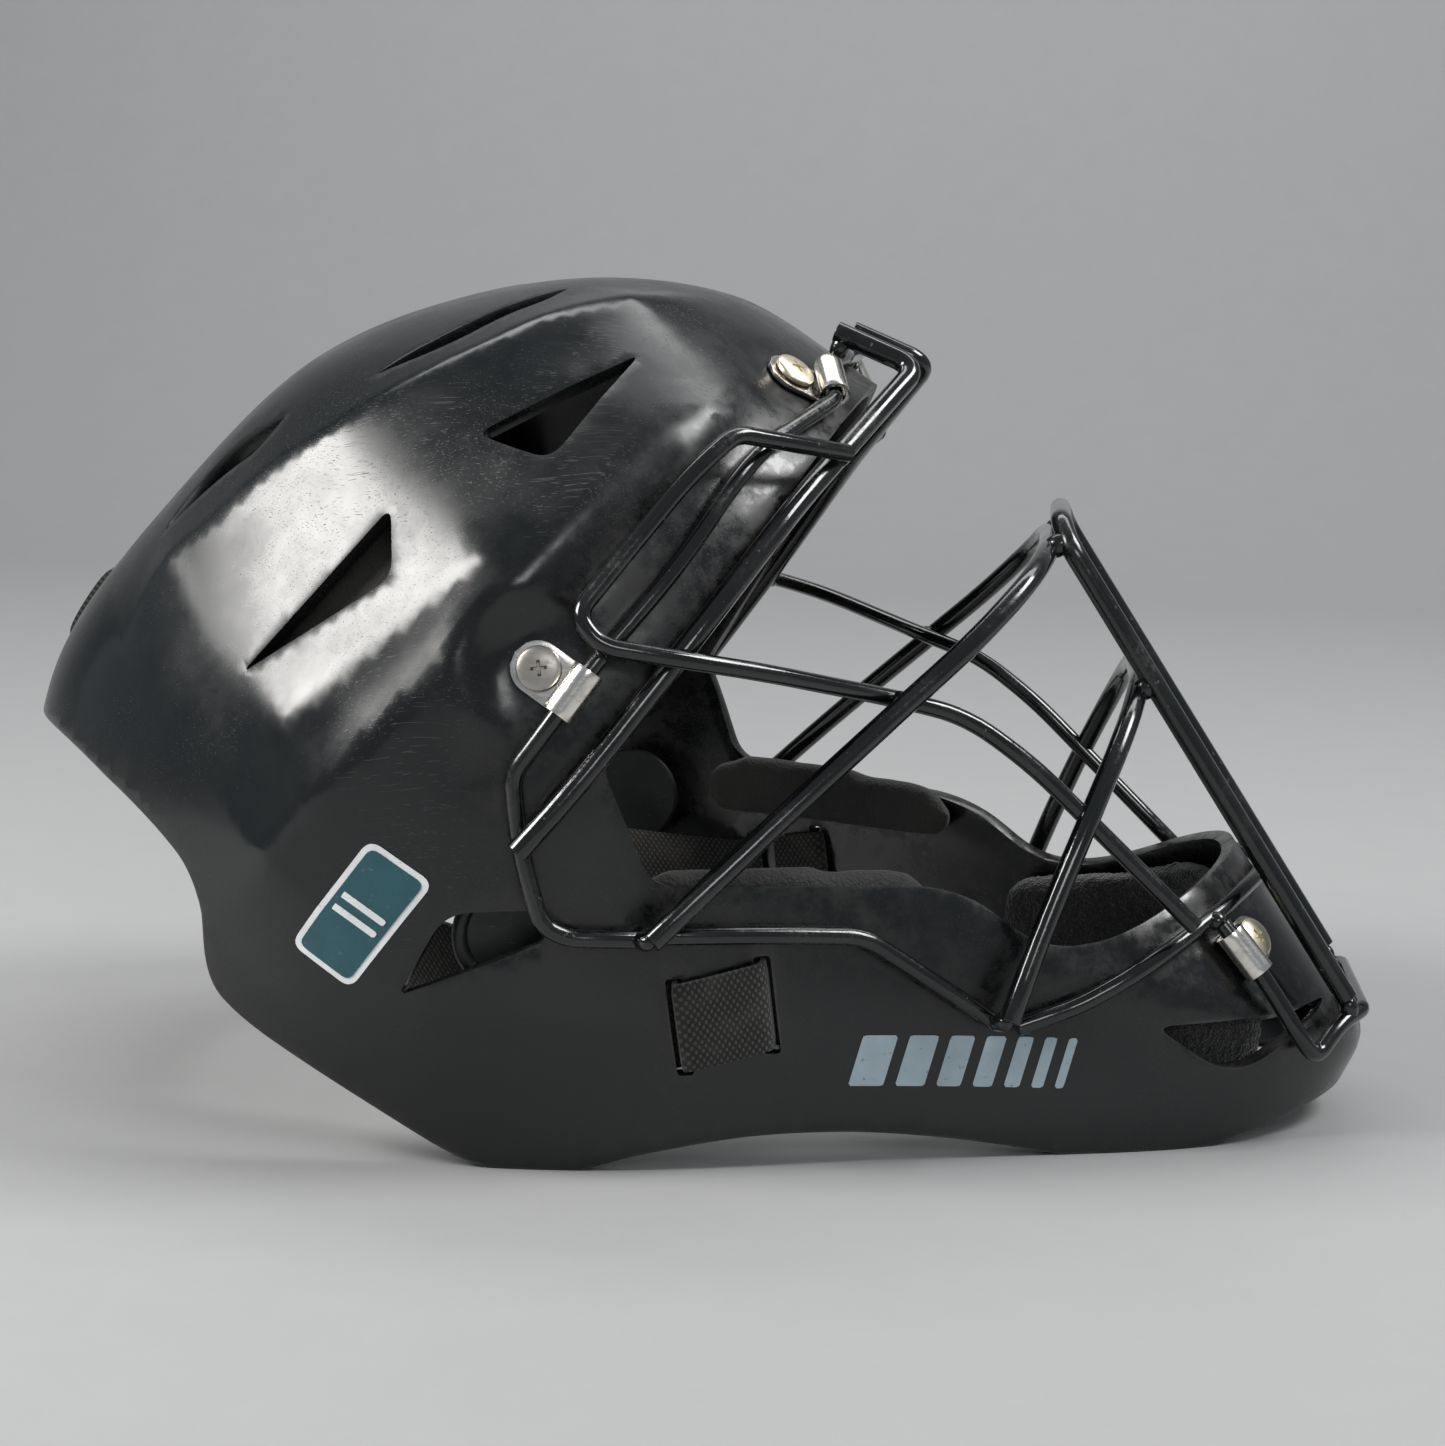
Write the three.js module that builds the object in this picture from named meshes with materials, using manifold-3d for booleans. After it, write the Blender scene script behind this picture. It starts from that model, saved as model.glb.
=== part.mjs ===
// Catcher's mask of the one-piece helmet kind: a hard shell, a welded wire cage on six clips,
// foam pads, and an occipital plate that swings on elastic straps.
// Millimetres. +X forward (chin), +Y the wearer's left, +Z up, resting on the jaw edge at z = 0.
import * as THREE from 'three';
import Module from 'manifold-3d';
import { mergeVertices } from 'three/addons/utils/BufferGeometryUtils.js';

// ---------------------------------------------------------------- driving dimensions
const WALL = 3.5;              // shell thickness
const GAP = 0.35;              // clearance kept between neighbouring pieces
const THICK_WIRE = 2.5;        // wire radii
const THIN_WIRE = 2.0;
const HALF_WIDTH = 118;        // widest half-width of the shell, above the ears
const CHIN_HALF_WIDTH = 66;    // half-width that the jaw narrows to
const BULGE = 2.3;             // superellipse powers: along the side, and across it
const CROWN = 2.2;
const CENTRE = { x: 10, z: 70 };   // middle of the side view, inside the face opening
const PAD_THICKNESS = 15;
const CHIN_PAD_THICKNESS = 12;
const JAW_PAD_THICKNESS = 9;
const PAD_GAP = 0.8;           // between the shell and the pads inside it
const SCREW_HEAD = { radius: 4.9, height: 2 };
const SCREW_SHANK = 2.0;
const SCREW_BEHIND = 4.2;      // how far a screw stands out behind the shell
const NUT = { radius: 4, thickness: 2.8, behind: 0.5 };
const CLIP = { width: 11.6, thickness: 1.0, loop: 3.5, reach: 8.9, tail: 6.2, hole: 2.35 };
const WEBBING = { width: 20, thickness: 1.8 };

const MATERIALS = {
  shell: new THREE.MeshStandardMaterial({ color: 0x0b0d10, roughness: 0.25, metalness: 0 }),
  wire: new THREE.MeshStandardMaterial({ color: 0x08090a, roughness: 0.2, metalness: 0.1 }),
  nickel: new THREE.MeshStandardMaterial({ color: 0xc9c6bf, roughness: 0.3, metalness: 1 }),
  foam: new THREE.MeshStandardMaterial({ color: 0x2a2b2d, roughness: 0.95, metalness: 0 }),
  webbing: new THREE.MeshStandardMaterial({ color: 0x121212, roughness: 0.9, metalness: 0 }),
  plastic: new THREE.MeshStandardMaterial({ color: 0x17181a, roughness: 0.5, metalness: 0 }),
};

// ---------------------------------------------------------------- booleans
const wasm = await Module();
wasm.setup();

function toManifold(geometry) {
  const bare = geometry.clone();
  bare.deleteAttribute('normal');
  bare.deleteAttribute('uv');
  const merged = mergeVertices(bare, 1e-4);
  return new wasm.Manifold(new wasm.Mesh({
    numProp: 3,
    vertProperties: new Float32Array(merged.attributes.position.array),
    triVerts: new Uint32Array(merged.index.array),
  }));
}

function toGeometry(manifold) {
  const mesh = manifold.getMesh();
  const geometry = new THREE.BufferGeometry();
  geometry.setAttribute('position', new THREE.BufferAttribute(mesh.vertProperties, 3));
  geometry.setIndex(new THREE.BufferAttribute(mesh.triVerts, 1));
  return geometry;
}

const part = new THREE.Group();

function add(name, geometry, material) {
  const mesh = new THREE.Mesh(geometry, material);
  mesh.name = name;
  part.add(mesh);
  return mesh;
}

// ---------------------------------------------------------------- the shell's surface
// Side-view silhouette, closed. The stretches in front of the face and below the neck are virtual:
// they only steer the surface, and are cut away.
const SILHOUETTE = new THREE.CatmullRomCurve3([
  [36, 173.5], [7, 190], [-22, 194.5], [-57, 189.5], [-94, 174], [-132, 137], [-157, 106],
  [-165, 84], [-171, 20], [-150, -35], [-104, -82], [10, -120], [97, -86], [146, -26],
  [158, 5], [163.5, 20], [157, 30], [142.3, 49.2], [130, 65.4], [116, 86], [99, 112], [80, 136], [58, 158],
].map(([x, z]) => new THREE.Vector3(x, 0, z)), true, 'centripetal');

// half-width before rounding: wide over the ears, narrower at the brow and the chin
function fullHalfWidth(x, z) {
  const low = THREE.MathUtils.smoothstep(40 - z, 0, 40);
  const wide = HALF_WIDTH * (1 - 0.06 * low);
  const narrow = CHIN_HALF_WIDTH + 0.2 * Math.max(0, 62 - z);
  const leaning = x - 0.2 * Math.max(0, z - 70);
  return wide - (wide - narrow) * THREE.MathUtils.smoothstep(leaning, -50, 100);
}

// the silhouette as distance from CENTRE by angle
const POLAR_STEPS = 720;
const POLAR = [];
for (let i = 0; i < POLAR_STEPS; i += 1) {
  const p = SILHOUETTE.getPoint(i / POLAR_STEPS);
  const dx = p.x - CENTRE.x;
  const dz = p.z - CENTRE.z;
  POLAR.push({ angle: Math.atan2(dz, dx), reach: Math.hypot(dx, dz) });
}
POLAR.sort((a, b) => a.angle - b.angle);

function silhouetteReach(angle) {
  let high = POLAR.findIndex((p) => p.angle >= angle);
  if (high < 1) high = 1;
  const a = POLAR[high - 1];
  const b = POLAR[high];
  const share = THREE.MathUtils.clamp((angle - a.angle) / (b.angle - a.angle), 0, 1);
  return THREE.MathUtils.lerp(a.reach, b.reach, share);
}

// how far out a side-view point lies: 0 at the centre, 1 on the silhouette
function outwardShare(x, z) {
  const reach = silhouetteReach(Math.atan2(z - CENTRE.z, x - CENTRE.x));
  return Math.hypot(x - CENTRE.x, z - CENTRE.z) / reach;
}

// outer half-width of the shell at a point of the side view
function halfWidth(x, z) {
  const share = Math.min(outwardShare(x, z), 1);
  return fullHalfWidth(x, z) * (1 - share ** BULGE) ** (1 / CROWN);
}

// point on the right-hand (-Y) outer surface, and its outward normal
function surfacePoint(x, z) {
  return new THREE.Vector3(x, -halfWidth(x, z), z);
}

function surfaceNormal(x, z) {
  const level = (p) => (Math.abs(p.y) / fullHalfWidth(p.x, p.z)) ** CROWN + outwardShare(p.x, p.z) ** BULGE;
  const at = surfacePoint(x, z);
  const slope = (axis) => {
    const step = new THREE.Vector3().setComponent(axis, 1);
    return level(at.clone().add(step)) - level(at.clone().sub(step));
  };
  return new THREE.Vector3(slope(0), slope(1), slope(2)).normalize();
}

// closed body bounded by the surface, moved inwards by inset
function bulgeBody(inset, columns = 56, rows = 26) {
  const positions = [];
  const index = [];
  for (let j = 0; j <= rows; j += 1) {
    const phi = (Math.PI * j) / rows;
    const outwards = Math.max(Math.sin(phi), 0) ** (2 / BULGE);
    const across = Math.sign(Math.cos(phi)) * Math.abs(Math.cos(phi)) ** (2 / CROWN);
    for (let i = 0; i < columns; i += 1) {
      const edge = SILHOUETTE.getPoint(i / columns);
      const dx = edge.x - CENTRE.x;
      const dz = edge.z - CENTRE.z;
      const shrink = (1 - inset / Math.hypot(dx, dz)) * outwards;
      const x = CENTRE.x + dx * shrink;
      const z = CENTRE.z + dz * shrink;
      const y = (fullHalfWidth(x, z) - inset) * across;
      if ((j === 0 || j === rows) && i > 0) continue;
      positions.push(x, y, z);
    }
  }
  const at = (j, i) => {
    if (j === 0) return 0;
    if (j === rows) return 1 + (rows - 1) * columns;
    return 1 + (j - 1) * columns + ((i + columns) % columns);
  };
  for (let j = 0; j < rows; j += 1) {
    for (let i = 0; i < columns; i += 1) {
      if (j > 0) index.push(at(j, i), at(j, i + 1), at(j + 1, i));
      if (j < rows - 1) index.push(at(j, i + 1), at(j + 1, i + 1), at(j + 1, i));
    }
  }
  const geometry = new THREE.BufferGeometry();
  geometry.setAttribute('position', new THREE.Float32BufferAttribute(positions, 3));
  geometry.setIndex(index);
  return toManifold(geometry);
}

// ---------------------------------------------------------------- outlines cut through the shell
// Each outline is a list of [across, up, corner radius] in the plane that it is cut from.
function roundedShape(corners) {
  const shape = new THREE.Shape();
  const points = corners.map(([x, y]) => new THREE.Vector2(x, y));
  points.forEach((corner, i) => {
    const before = points[(i + points.length - 1) % points.length];
    const after = points[(i + 1) % points.length];
    const radius = corners[i][2] ?? 0;
    const cutIn = Math.min(radius, corner.distanceTo(before) * 0.45);
    const cutOut = Math.min(radius, corner.distanceTo(after) * 0.45);
    const start = corner.clone().add(before.clone().sub(corner).setLength(cutIn));
    const end = corner.clone().add(after.clone().sub(corner).setLength(cutOut));
    if (i === 0) shape.moveTo(start.x, start.y);
    else shape.lineTo(start.x, start.y);
    if (radius > 0) shape.quadraticCurveTo(corner.x, corner.y, end.x, end.y);
  });
  shape.closePath();
  return shape;
}

// prism of a side-view outline, from y = from to y = to
function sidePrism(corners, from = -150, to = 150, curveSegments = 4) {
  const geometry = new THREE.ExtrudeGeometry(roundedShape(corners), {
    depth: to - from, bevelEnabled: false, curveSegments,
  });
  geometry.rotateX(Math.PI / 2);
  geometry.translate(0, to, 0);
  return toManifold(geometry);
}

// prism of a top-view outline, from z = from to z = to
function topPrism(corners, from, to) {
  const geometry = new THREE.ExtrudeGeometry(roundedShape(corners), {
    depth: to - from, bevelEnabled: false, curveSegments: 3,
  });
  geometry.translate(0, 0, from);
  return toManifold(geometry);
}

const BODY_OUTLINE = [
  [-200, 240], [-200, 89], [-160, 88.5], [-139, 86, 12], [-114, 73, 10], [-99, 61, 12], [-97, 38, 9],
  [-88, 30, 9], [-41, 2.5, 9], [-33, 0], [-13, 0], [0, 3.8, 8], [22, 7.6, 16], [46, 7.6, 16],
  [70, 4.5, 12], [92, 0], [126, 0], [160, 9], [220, 25], [220, 240],
];
const FACE_OPENING = [
  [73, 224], [-9, 90.5, 3], [1.4, 64.2, 6], [66, 61.5, 12], [86, 46.6, 9], [104, 48.6, 14],
  [134, 66], [260, 130], [260, 224],
];
const SIDE_VENTS = {
  front: [[-40.5, 157.5, 3], [-8.5, 175, 2.5], [-23.5, 152.5, 4]],
  rear: [[-89.5, 105.2, 2.5], [-57.6, 142, 3], [-55, 127.6, 4]],
  ear: [[-51, 40, 2], [-41, 58.8, 6], [-22, 59.6, 3], [-19.5, 53, 2]],
  chin: [[112, 29, 4], [153.5, 31, 3], [131, 15.5, 10]],
};
const TOP_VENTS = {
  crown: [[-68, -63.5, 2], [-52, -54, 8], [-29, -36.5, 2], [-33, -48, 4], [-52, -63, 8]],
  rear: [[-119, -53.5, 2], [-108, -46.5, 6], [-89, -57, 2], [-94, -62.5, 3], [-106, -57, 5]],
};

// strap slots: centre in the side view, leaning back like the webbing
const SLOT = { length: WEBBING.width + 2, gap: 3.6, lean: 0.14 };
const REAR_SLOT = { x: 8.1, z: 33.1 };
const FRONT_SLOT = { x: 26.3, z: 37.2 };

function slotPrism({ x, z }) {
  const up = SLOT.length / 2;
  const side = SLOT.gap / 2;
  const lean = SLOT.lean * up;
  return sidePrism([
    [x - side - lean, z + up, 0.8], [x + side - lean, z + up, 0.8],
    [x + side + lean, z - up, 0.8], [x - side + lean, z - up, 0.8],
  ], -150, 150, 2);
}

// the rear anchor: webbing passes out and in through two slots on the centreline
const ANCHOR_LOW = new THREE.Vector3(-158.3, 0, 102.5);
const ANCHOR_HIGH = new THREE.Vector3(-147.3, 0, 119.5);
const ANCHOR_ALONG = ANCHOR_HIGH.clone().sub(ANCHOR_LOW).normalize();
const ANCHOR_OUT = new THREE.Vector3(-ANCHOR_ALONG.z, 0, ANCHOR_ALONG.x);

function anchorSlot(at) {
  const box = new THREE.BoxGeometry(24, WEBBING.width + 1.4, SLOT.gap);
  box.rotateY(-Math.atan2(ANCHOR_OUT.z, ANCHOR_OUT.x));
  box.translate(at.x, at.y, at.z);
  return toManifold(box);
}

// ---------------------------------------------------------------- wire clips, screws and nuts
// A seat is the frame of one clip: its screw on the shell, the surface normal, the way to the wire
// along the surface, and the wire's own direction. Right-hand side; side = 1 mirrors it.
function makeSeat(x, z, heading) {
  const normal = surfaceNormal(x, z);
  const reach = heading.clone().projectOnPlane(normal).normalize();
  const along = new THREE.Vector3().crossVectors(normal, reach);
  const screw = surfacePoint(x, z).addScaledVector(normal, GAP);
  const loopHeight = CLIP.loop;
  const wire = screw.clone().addScaledVector(reach, CLIP.reach).addScaledVector(normal, loopHeight);
  return { normal, reach, along, screw, wire };
}

const SEATS = {
  forehead: makeSeat(23.2, 172.6, new THREE.Vector3(1, 0.35, -0.1)),
  temple: makeSeat(-22.8, 111, new THREE.Vector3(0.83, 0, -0.56)),
  chin: makeSeat(133.2, 45.4, new THREE.Vector3(-0.45, -0.8, -0.35)),
};

function placed(geometry, seat) {
  const basis = new THREE.Matrix4().makeBasis(seat.reach, seat.along, seat.normal);
  basis.setPosition(seat.screw);
  return geometry.clone().applyMatrix4(basis);
}

function mirroredGeometry(geometry) {
  return toGeometry(toManifold(geometry).mirror([0, 1, 0]));
}

// local frame: origin on the shell under the screw, +X to the wire, +Z outwards
function clipGeometry() {
  const { loop, thickness, width, reach, tail } = CLIP;
  const meet = Math.asin((loop - thickness) / loop);
  const strip = new THREE.Shape();
  strip.moveTo(-tail, 0);
  strip.lineTo(reach, 0);
  strip.absarc(reach, loop, loop, -Math.PI / 2, Math.PI + meet, false);
  strip.lineTo(-tail, thickness);
  strip.closePath();
  const bore = new THREE.Path();
  bore.absarc(reach, loop, THIN_WIRE + GAP, 0, 2 * Math.PI, true);
  strip.holes.push(bore);
  const geometry = new THREE.ExtrudeGeometry(strip, {
    depth: width, bevelEnabled: false, curveSegments: 8,
  });
  geometry.rotateX(Math.PI / 2);
  geometry.translate(0, width / 2, 0);
  const edge = width / 2 + 0.1;
  const corner = edge - 0.4;
  const front = reach + 2 * loop;
  const roundEnded = topPrism([
    [-tail - 0.1, -edge, corner], [front, -edge], [front, edge], [-tail - 0.1, edge, corner],
  ], -1, 3 * loop);
  const hole = toManifold(new THREE.CylinderGeometry(CLIP.hole, CLIP.hole, 6, 12).rotateX(Math.PI / 2));
  return toGeometry(toManifold(geometry).intersect(roundEnded).subtract(hole));
}

const SCREW_LENGTH = CLIP.thickness + 2 * GAP + WALL + SCREW_BEHIND;

function screwGeometry() {
  const under = CLIP.thickness + GAP;
  const { radius, height } = SCREW_HEAD;
  const profile = [
    [0, under - SCREW_LENGTH], [SCREW_SHANK, under - SCREW_LENGTH], [SCREW_SHANK, under], [radius, under],
    [radius, under + height * 0.45], [radius * 0.72, under + height * 0.85], [0, under + height],
  ].map(([r, h]) => new THREE.Vector2(r, h));
  return new THREE.LatheGeometry(profile, 12).rotateX(Math.PI / 2);
}

function nutGeometry() {
  const { radius, thickness, behind } = NUT;
  const clear = SCREW_SHANK + GAP;
  const body = new THREE.CylinderGeometry(radius, radius, thickness, 6).rotateX(Math.PI / 2);
  const bore = new THREE.CylinderGeometry(clear, clear, 3 * thickness, 12).rotateX(Math.PI / 2);
  const drop = -(2 * GAP + WALL + behind) - thickness / 2;
  return toGeometry(toManifold(body).subtract(toManifold(bore)).translate([0, 0, drop]));
}

function boltHole(seat) {
  const radius = SCREW_SHANK + 0.4;
  const drill = new THREE.CylinderGeometry(radius, radius, 24, 10).rotateX(Math.PI / 2);
  return toManifold(placed(drill, seat));
}

// room around a nut behind the shell, cut out of the pad there
function nutPocket(seat) {
  const radius = NUT.radius + 2.2;
  const pocket = new THREE.CylinderGeometry(radius, radius, 22, 10).rotateX(Math.PI / 2);
  return toManifold(placed(pocket, seat));
}

function bothSides(solid) {
  return solid.add(solid.mirror([0, 1, 0]));
}

const fastener = { clip: clipGeometry(), screw: screwGeometry(), nut: nutGeometry() };
for (const [place, seat] of Object.entries(SEATS)) {
  for (const [kind, geometry] of Object.entries(fastener)) {
    const right = placed(geometry, seat);
    add(`${place}_${kind}_right`, right, MATERIALS.nickel);
    add(`${place}_${kind}_left`, mirroredGeometry(right), MATERIALS.nickel);
  }
}

// ---------------------------------------------------------------- the shell
const outerBody = bulgeBody(0);
const innerBody = bulgeBody(WALL);

function shellSolid() {
  let shell = outerBody.subtract(innerBody);
  shell = shell.intersect(sidePrism(BODY_OUTLINE)).subtract(sidePrism(FACE_OPENING));
  for (const corners of Object.values(SIDE_VENTS)) {
    shell = shell.subtract(sidePrism(corners));
  }
  for (const corners of Object.values(TOP_VENTS)) {
    shell = shell.subtract(bothSides(topPrism(corners, 110, 210)));
  }
  shell = shell.subtract(slotPrism(REAR_SLOT)).subtract(slotPrism(FRONT_SLOT));
  shell = shell.subtract(anchorSlot(ANCHOR_LOW)).subtract(anchorSlot(ANCHOR_HIGH));
  for (const seat of Object.values(SEATS)) {
    shell = shell.subtract(bothSides(boltHole(seat)));
  }
  return shell.simplify(0.03);
}
add('shell', toGeometry(shellSolid()), MATERIALS.shell);

// ---------------------------------------------------------------- the wire cage
// A bent rod: straight runs joined by rounded corners, as few steps as the bends need.
class RodPath extends THREE.Curve {
  constructor(corners, bendRadius) {
    super();
    this.points = [corners[0].clone()];
    for (let i = 1; i < corners.length - 1; i += 1) {
      const before = corners[i - 1].clone().sub(corners[i]);
      const after = corners[i + 1].clone().sub(corners[i]);
      const turn = Math.PI - before.angleTo(after);
      const wanted = bendRadius * Math.tan(turn / 2);
      const cut = Math.min(wanted, before.length() * 0.48, after.length() * 0.48);
      const bend = new THREE.QuadraticBezierCurve3(
        corners[i].clone().addScaledVector(before.normalize(), cut),
        corners[i],
        corners[i].clone().addScaledVector(after.normalize(), cut),
      );
      const steps = Math.max(1, Math.round(turn / 0.5));
      this.points.push(...bend.getPoints(steps));
    }
    this.points.push(corners[corners.length - 1].clone());
  }

  getPoint(t) {
    const place = THREE.MathUtils.clamp(t, 0, 1) * (this.points.length - 1);
    const i = Math.min(Math.floor(place), this.points.length - 2);
    return this.points[i].clone().lerp(this.points[i + 1], place - i);
  }

  getTangent(t) {
    const i = Math.round(THREE.MathUtils.clamp(t, 0, 1) * (this.points.length - 1));
    const before = this.points[Math.max(i - 1, 0)];
    const after = this.points[Math.min(i + 1, this.points.length - 1)];
    return after.clone().sub(before).normalize();
  }

  getUtoTmapping(u) {
    return u;
  }
}

const vectors = (points) => points.map((p) => (p.isVector3 ? p : new THREE.Vector3(...p)));
const mirrorPoint = (p) => new THREE.Vector3(p.x, -p.y, p.z);

function rod(corners, radius, bendRadius = 12, sides = 8) {
  const path = new RodPath(vectors(corners), bendRadius);
  const section = new THREE.Shape();
  for (let i = 0; i < sides; i += 1) {
    const angle = (2 * Math.PI * (i + 0.5)) / sides;
    const method = i === 0 ? 'moveTo' : 'lineTo';
    section[method](radius * Math.cos(angle), radius * Math.sin(angle));
  }
  section.closePath();
  return new THREE.ExtrudeGeometry(section, { steps: path.points.length - 1, extrudePath: path });
}

// right half of a wire that crosses the centreline, and its mirror image
function acrossWire(right) {
  const half = vectors(right);
  return [...half, ...half.map(mirrorPoint).reverse()];
}

function addWire(name, corners, radius, bendRadius) {
  add(name, rod(corners, radius, bendRadius), MATERIALS.wire);
}

function addWirePair(name, right, radius, bendRadius) {
  const corners = vectors(right);
  addWire(`${name}_right`, corners, radius, bendRadius);
  addWire(`${name}_left`, corners.map(mirrorPoint), radius, bendRadius);
}

// centre of a wire that lies on the right-hand side of the shell
function offShell(x, z, radius = THIN_WIRE) {
  return surfacePoint(x, z).addScaledVector(surfaceNormal(x, z), radius + 0.7);
}

// straight stretch of wire through a clip's loop
function throughClip(seat, towardsEnd) {
  const half = CLIP.width / 2 + 4;
  return [seat.wire.clone().addScaledVector(seat.along, -half * towardsEnd),
    seat.wire.clone().addScaledVector(seat.along, half * towardsEnd)];
}

addWire('perimeter_wire', acrossWire([
  [-0.2, -107.9, 53.4], [-15, -113.4, 54], [-20.5, -115.2, 57], [-25.2, -116.3, 73], [-27.2, -116.3, 89],
  ...throughClip(SEATS.temple, 1), [5.3, -100, 133.5], [14.2, -87, 149.2], [20.8, -75.5, 158.4],
  ...throughClip(SEATS.forehead, 1), [34.2, -24, 177.6],
]), THIN_WIRE, 9);
addWirePair('brow_wire', [
  [32.5, -31, 183.3], [51.5, -33, 175.6], [38, -57, 158.6], [28.7, -77.6, 146.6], [19.6, -92, 133.4],
  [10.2, -102.2, 119.8], [-7.9, -113, 94.6], [-16, -117.6, 84], [-25.1, -121.4, 73.2],
], THICK_WIRE, 5);
addWirePair('temple_wire', [
  [38.6, -66.5, 156.8], [15.4, -88, 161.2], [6.7, -96.5, 152.5], [-3, -105, 139.3], [-14.6, -115, 123.2],
  [-9, -116, 117], [5.9, -111.4, 114.5], [23.2, -100, 111.2], [51.6, -73.5, 103.4], [66.6, -65, 99.2],
  [81.9, -60, 88.2], [93.4, -56, 77.4], [104.7, -52, 66.7], [115.5, -48.6, 56.6],
], THIN_WIRE, 9);
addWire('eye_loop', acrossWire([
  [2.8, -112.5, 53.8], [28.2, -97, 79], [52.4, -79.2, 101.8], [68.2, -69, 116.5], [79.5, -55, 129],
  [83, -38, 134.2], [83.6, -18, 135],
]), THICK_WIRE, 40);
addWire('front_bars', acrossWire([
  [162.2, -32, 33], [90.2, -33, 135.2], [88.2, -26, 140.8],
]), THICK_WIRE, 8);
addWire('mouth_loop', acrossWire([
  [79, -77.2, 32.7], [85.7, -70.5, 53], [94.3, -62.5, 75.3], [102.6, -48, 95], [106, -28, 104.5],
]), THICK_WIRE, 25);
addWire('chin_top_wire', acrossWire([
  [80.8, -70.8, 30.3], offShell(94, 34.6), offShell(103, 39.4), offShell(111, 43.6), offShell(118.5, 48.2),
  offShell(125, 52), offShell(131, 55.6), [137.8, -12, 58.8],
]), THIN_WIRE, 14);
addWirePair('jaw_wire', [
  [4, -105.9, 54], [28.7, -93.6, 53.1], [46.5, -84.2, 51.8], [54, -80.6, 46.6], [75.6, -72.4, 31.7],
], THIN_WIRE, 12);
addWire('chin_clip_wire', acrossWire([
  SEATS.chin.wire.clone().addScaledVector(SEATS.chin.along, -8.4),
  SEATS.chin.wire.clone().addScaledVector(SEATS.chin.along, 8),
  [145.1, -45, 26.3], [149.6, -42, 20], [155.3, -35, 27], [161, -27, 29.2],
]), THIN_WIRE, 5);

// ---------------------------------------------------------------- foam pads
// Each pad is the layer just inside the shell, over a region drawn in the side or the top view.
function padSolid(region, thickness) {
  const inset = WALL + PAD_GAP;
  return bulgeBody(inset, 44, 20).subtract(bulgeBody(inset + thickness, 44, 20)).intersect(region);
}

const PAD_REGIONS = {
  temple: [
    [-14, 93, 4], [7, 127.5, 4], [-8, 142.5, 4], [-30, 128, 6], [-45, 104, 6], [-44, 78, 6], [-24, 75, 6],
  ],
  side: [[-98, 98, 6], [-66, 147, 6], [-48, 141, 6], [-48, 113.5, 6], [-84, 86, 6]],
  jaw: [[-6, 50, 3], [-10, 61, 4], [3, 66.8, 3], [54, 65.5, 5], [64, 56, 4], [58, 50, 3]],
};
const FOREHEAD_REGION = [[10, 131, 3], [37, 175, 3], [37, 205], [8, 205], [-9, 148, 5]];
const CHIN_REGION = [
  [74, 16, 6], [76, 41, 6], [86, 44.6, 6], [104, 46, 10], [126, 56, 4], [139, 40, 6], [137, 14, 6],
];
const CROWN_REGION = [[-84, -34, 14], [-7, -34, 14], [-7, 34, 14], [-84, 34, 14]];

const foreheadLayer = padSolid(sidePrism(FOREHEAD_REGION), PAD_THICKNESS);
const foreheadPad = foreheadLayer.subtract(bothSides(nutPocket(SEATS.forehead)));
add('forehead_pad', toGeometry(foreheadPad), MATERIALS.foam);
const crownPad = padSolid(topPrism(CROWN_REGION, 120, 220), PAD_THICKNESS);
add('crown_pad', toGeometry(crownPad), MATERIALS.foam);
const chinLayer = padSolid(sidePrism(CHIN_REGION), CHIN_PAD_THICKNESS);
const chinPad = chinLayer.subtract(bothSides(nutPocket(SEATS.chin)));
add('chin_pad', toGeometry(chinPad), MATERIALS.foam);
for (const [place, corners] of Object.entries(PAD_REGIONS)) {
  const thickness = place === 'jaw' ? JAW_PAD_THICKNESS : PAD_THICKNESS;
  let right = padSolid(sidePrism(corners, -150, -5), thickness);
  if (place === 'temple') right = right.subtract(nutPocket(SEATS.temple));
  add(`${place}_pad_right`, toGeometry(right), MATERIALS.foam);
  add(`${place}_pad_left`, toGeometry(right.mirror([0, 1, 0])), MATERIALS.foam);
}

// ---------------------------------------------------------------- occipital plate on its straps
const PLATE = { radius: 95, thickness: 3, halfAngle: 0.56, height: 62, tilt: 0.3, x: -95, z: 64 };
const BACK_PAD = { thickness: 10, halfAngle: 0.5, height: 44, drop: 6 };
const plateTilt = new THREE.Matrix4().makeRotationY(-PLATE.tilt).setPosition(PLATE.x, 0, PLATE.z);

// curved slab between two radii, concave side forward, in the plate's own frame
function curvedSlab(inner, outer, halfAngle, height) {
  const shape = new THREE.Shape();
  shape.absarc(PLATE.radius, 0, outer, Math.PI - halfAngle, Math.PI + halfAngle, false);
  shape.absarc(PLATE.radius, 0, inner, Math.PI + halfAngle, Math.PI - halfAngle, true);
  shape.closePath();
  const geometry = new THREE.ExtrudeGeometry(shape, {
    depth: height, bevelEnabled: false, curveSegments: 12,
  });
  return geometry.translate(0, 0, -height / 2);
}

function plateBox(width, depth, height, y, z) {
  return toManifold(new THREE.BoxGeometry(width, depth, height).translate(0, y, z));
}

const plateInner = PLATE.radius - PLATE.thickness;
const slab = toManifold(curvedSlab(plateInner, PLATE.radius, PLATE.halfAngle, PLATE.height));
const topSlot = plateBox(12, WEBBING.width + 2, 3.4, 0, 25);
const plate = slab.subtract(topSlot);
add('back_plate', toGeometry(plate).applyMatrix4(plateTilt), MATERIALS.plastic);
const padOuter = plateInner - GAP;
const backPad = curvedSlab(padOuter - BACK_PAD.thickness, padOuter, BACK_PAD.halfAngle, BACK_PAD.height);
add('back_pad', backPad.translate(0, 0, -BACK_PAD.drop).applyMatrix4(plateTilt), MATERIALS.foam);

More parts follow.
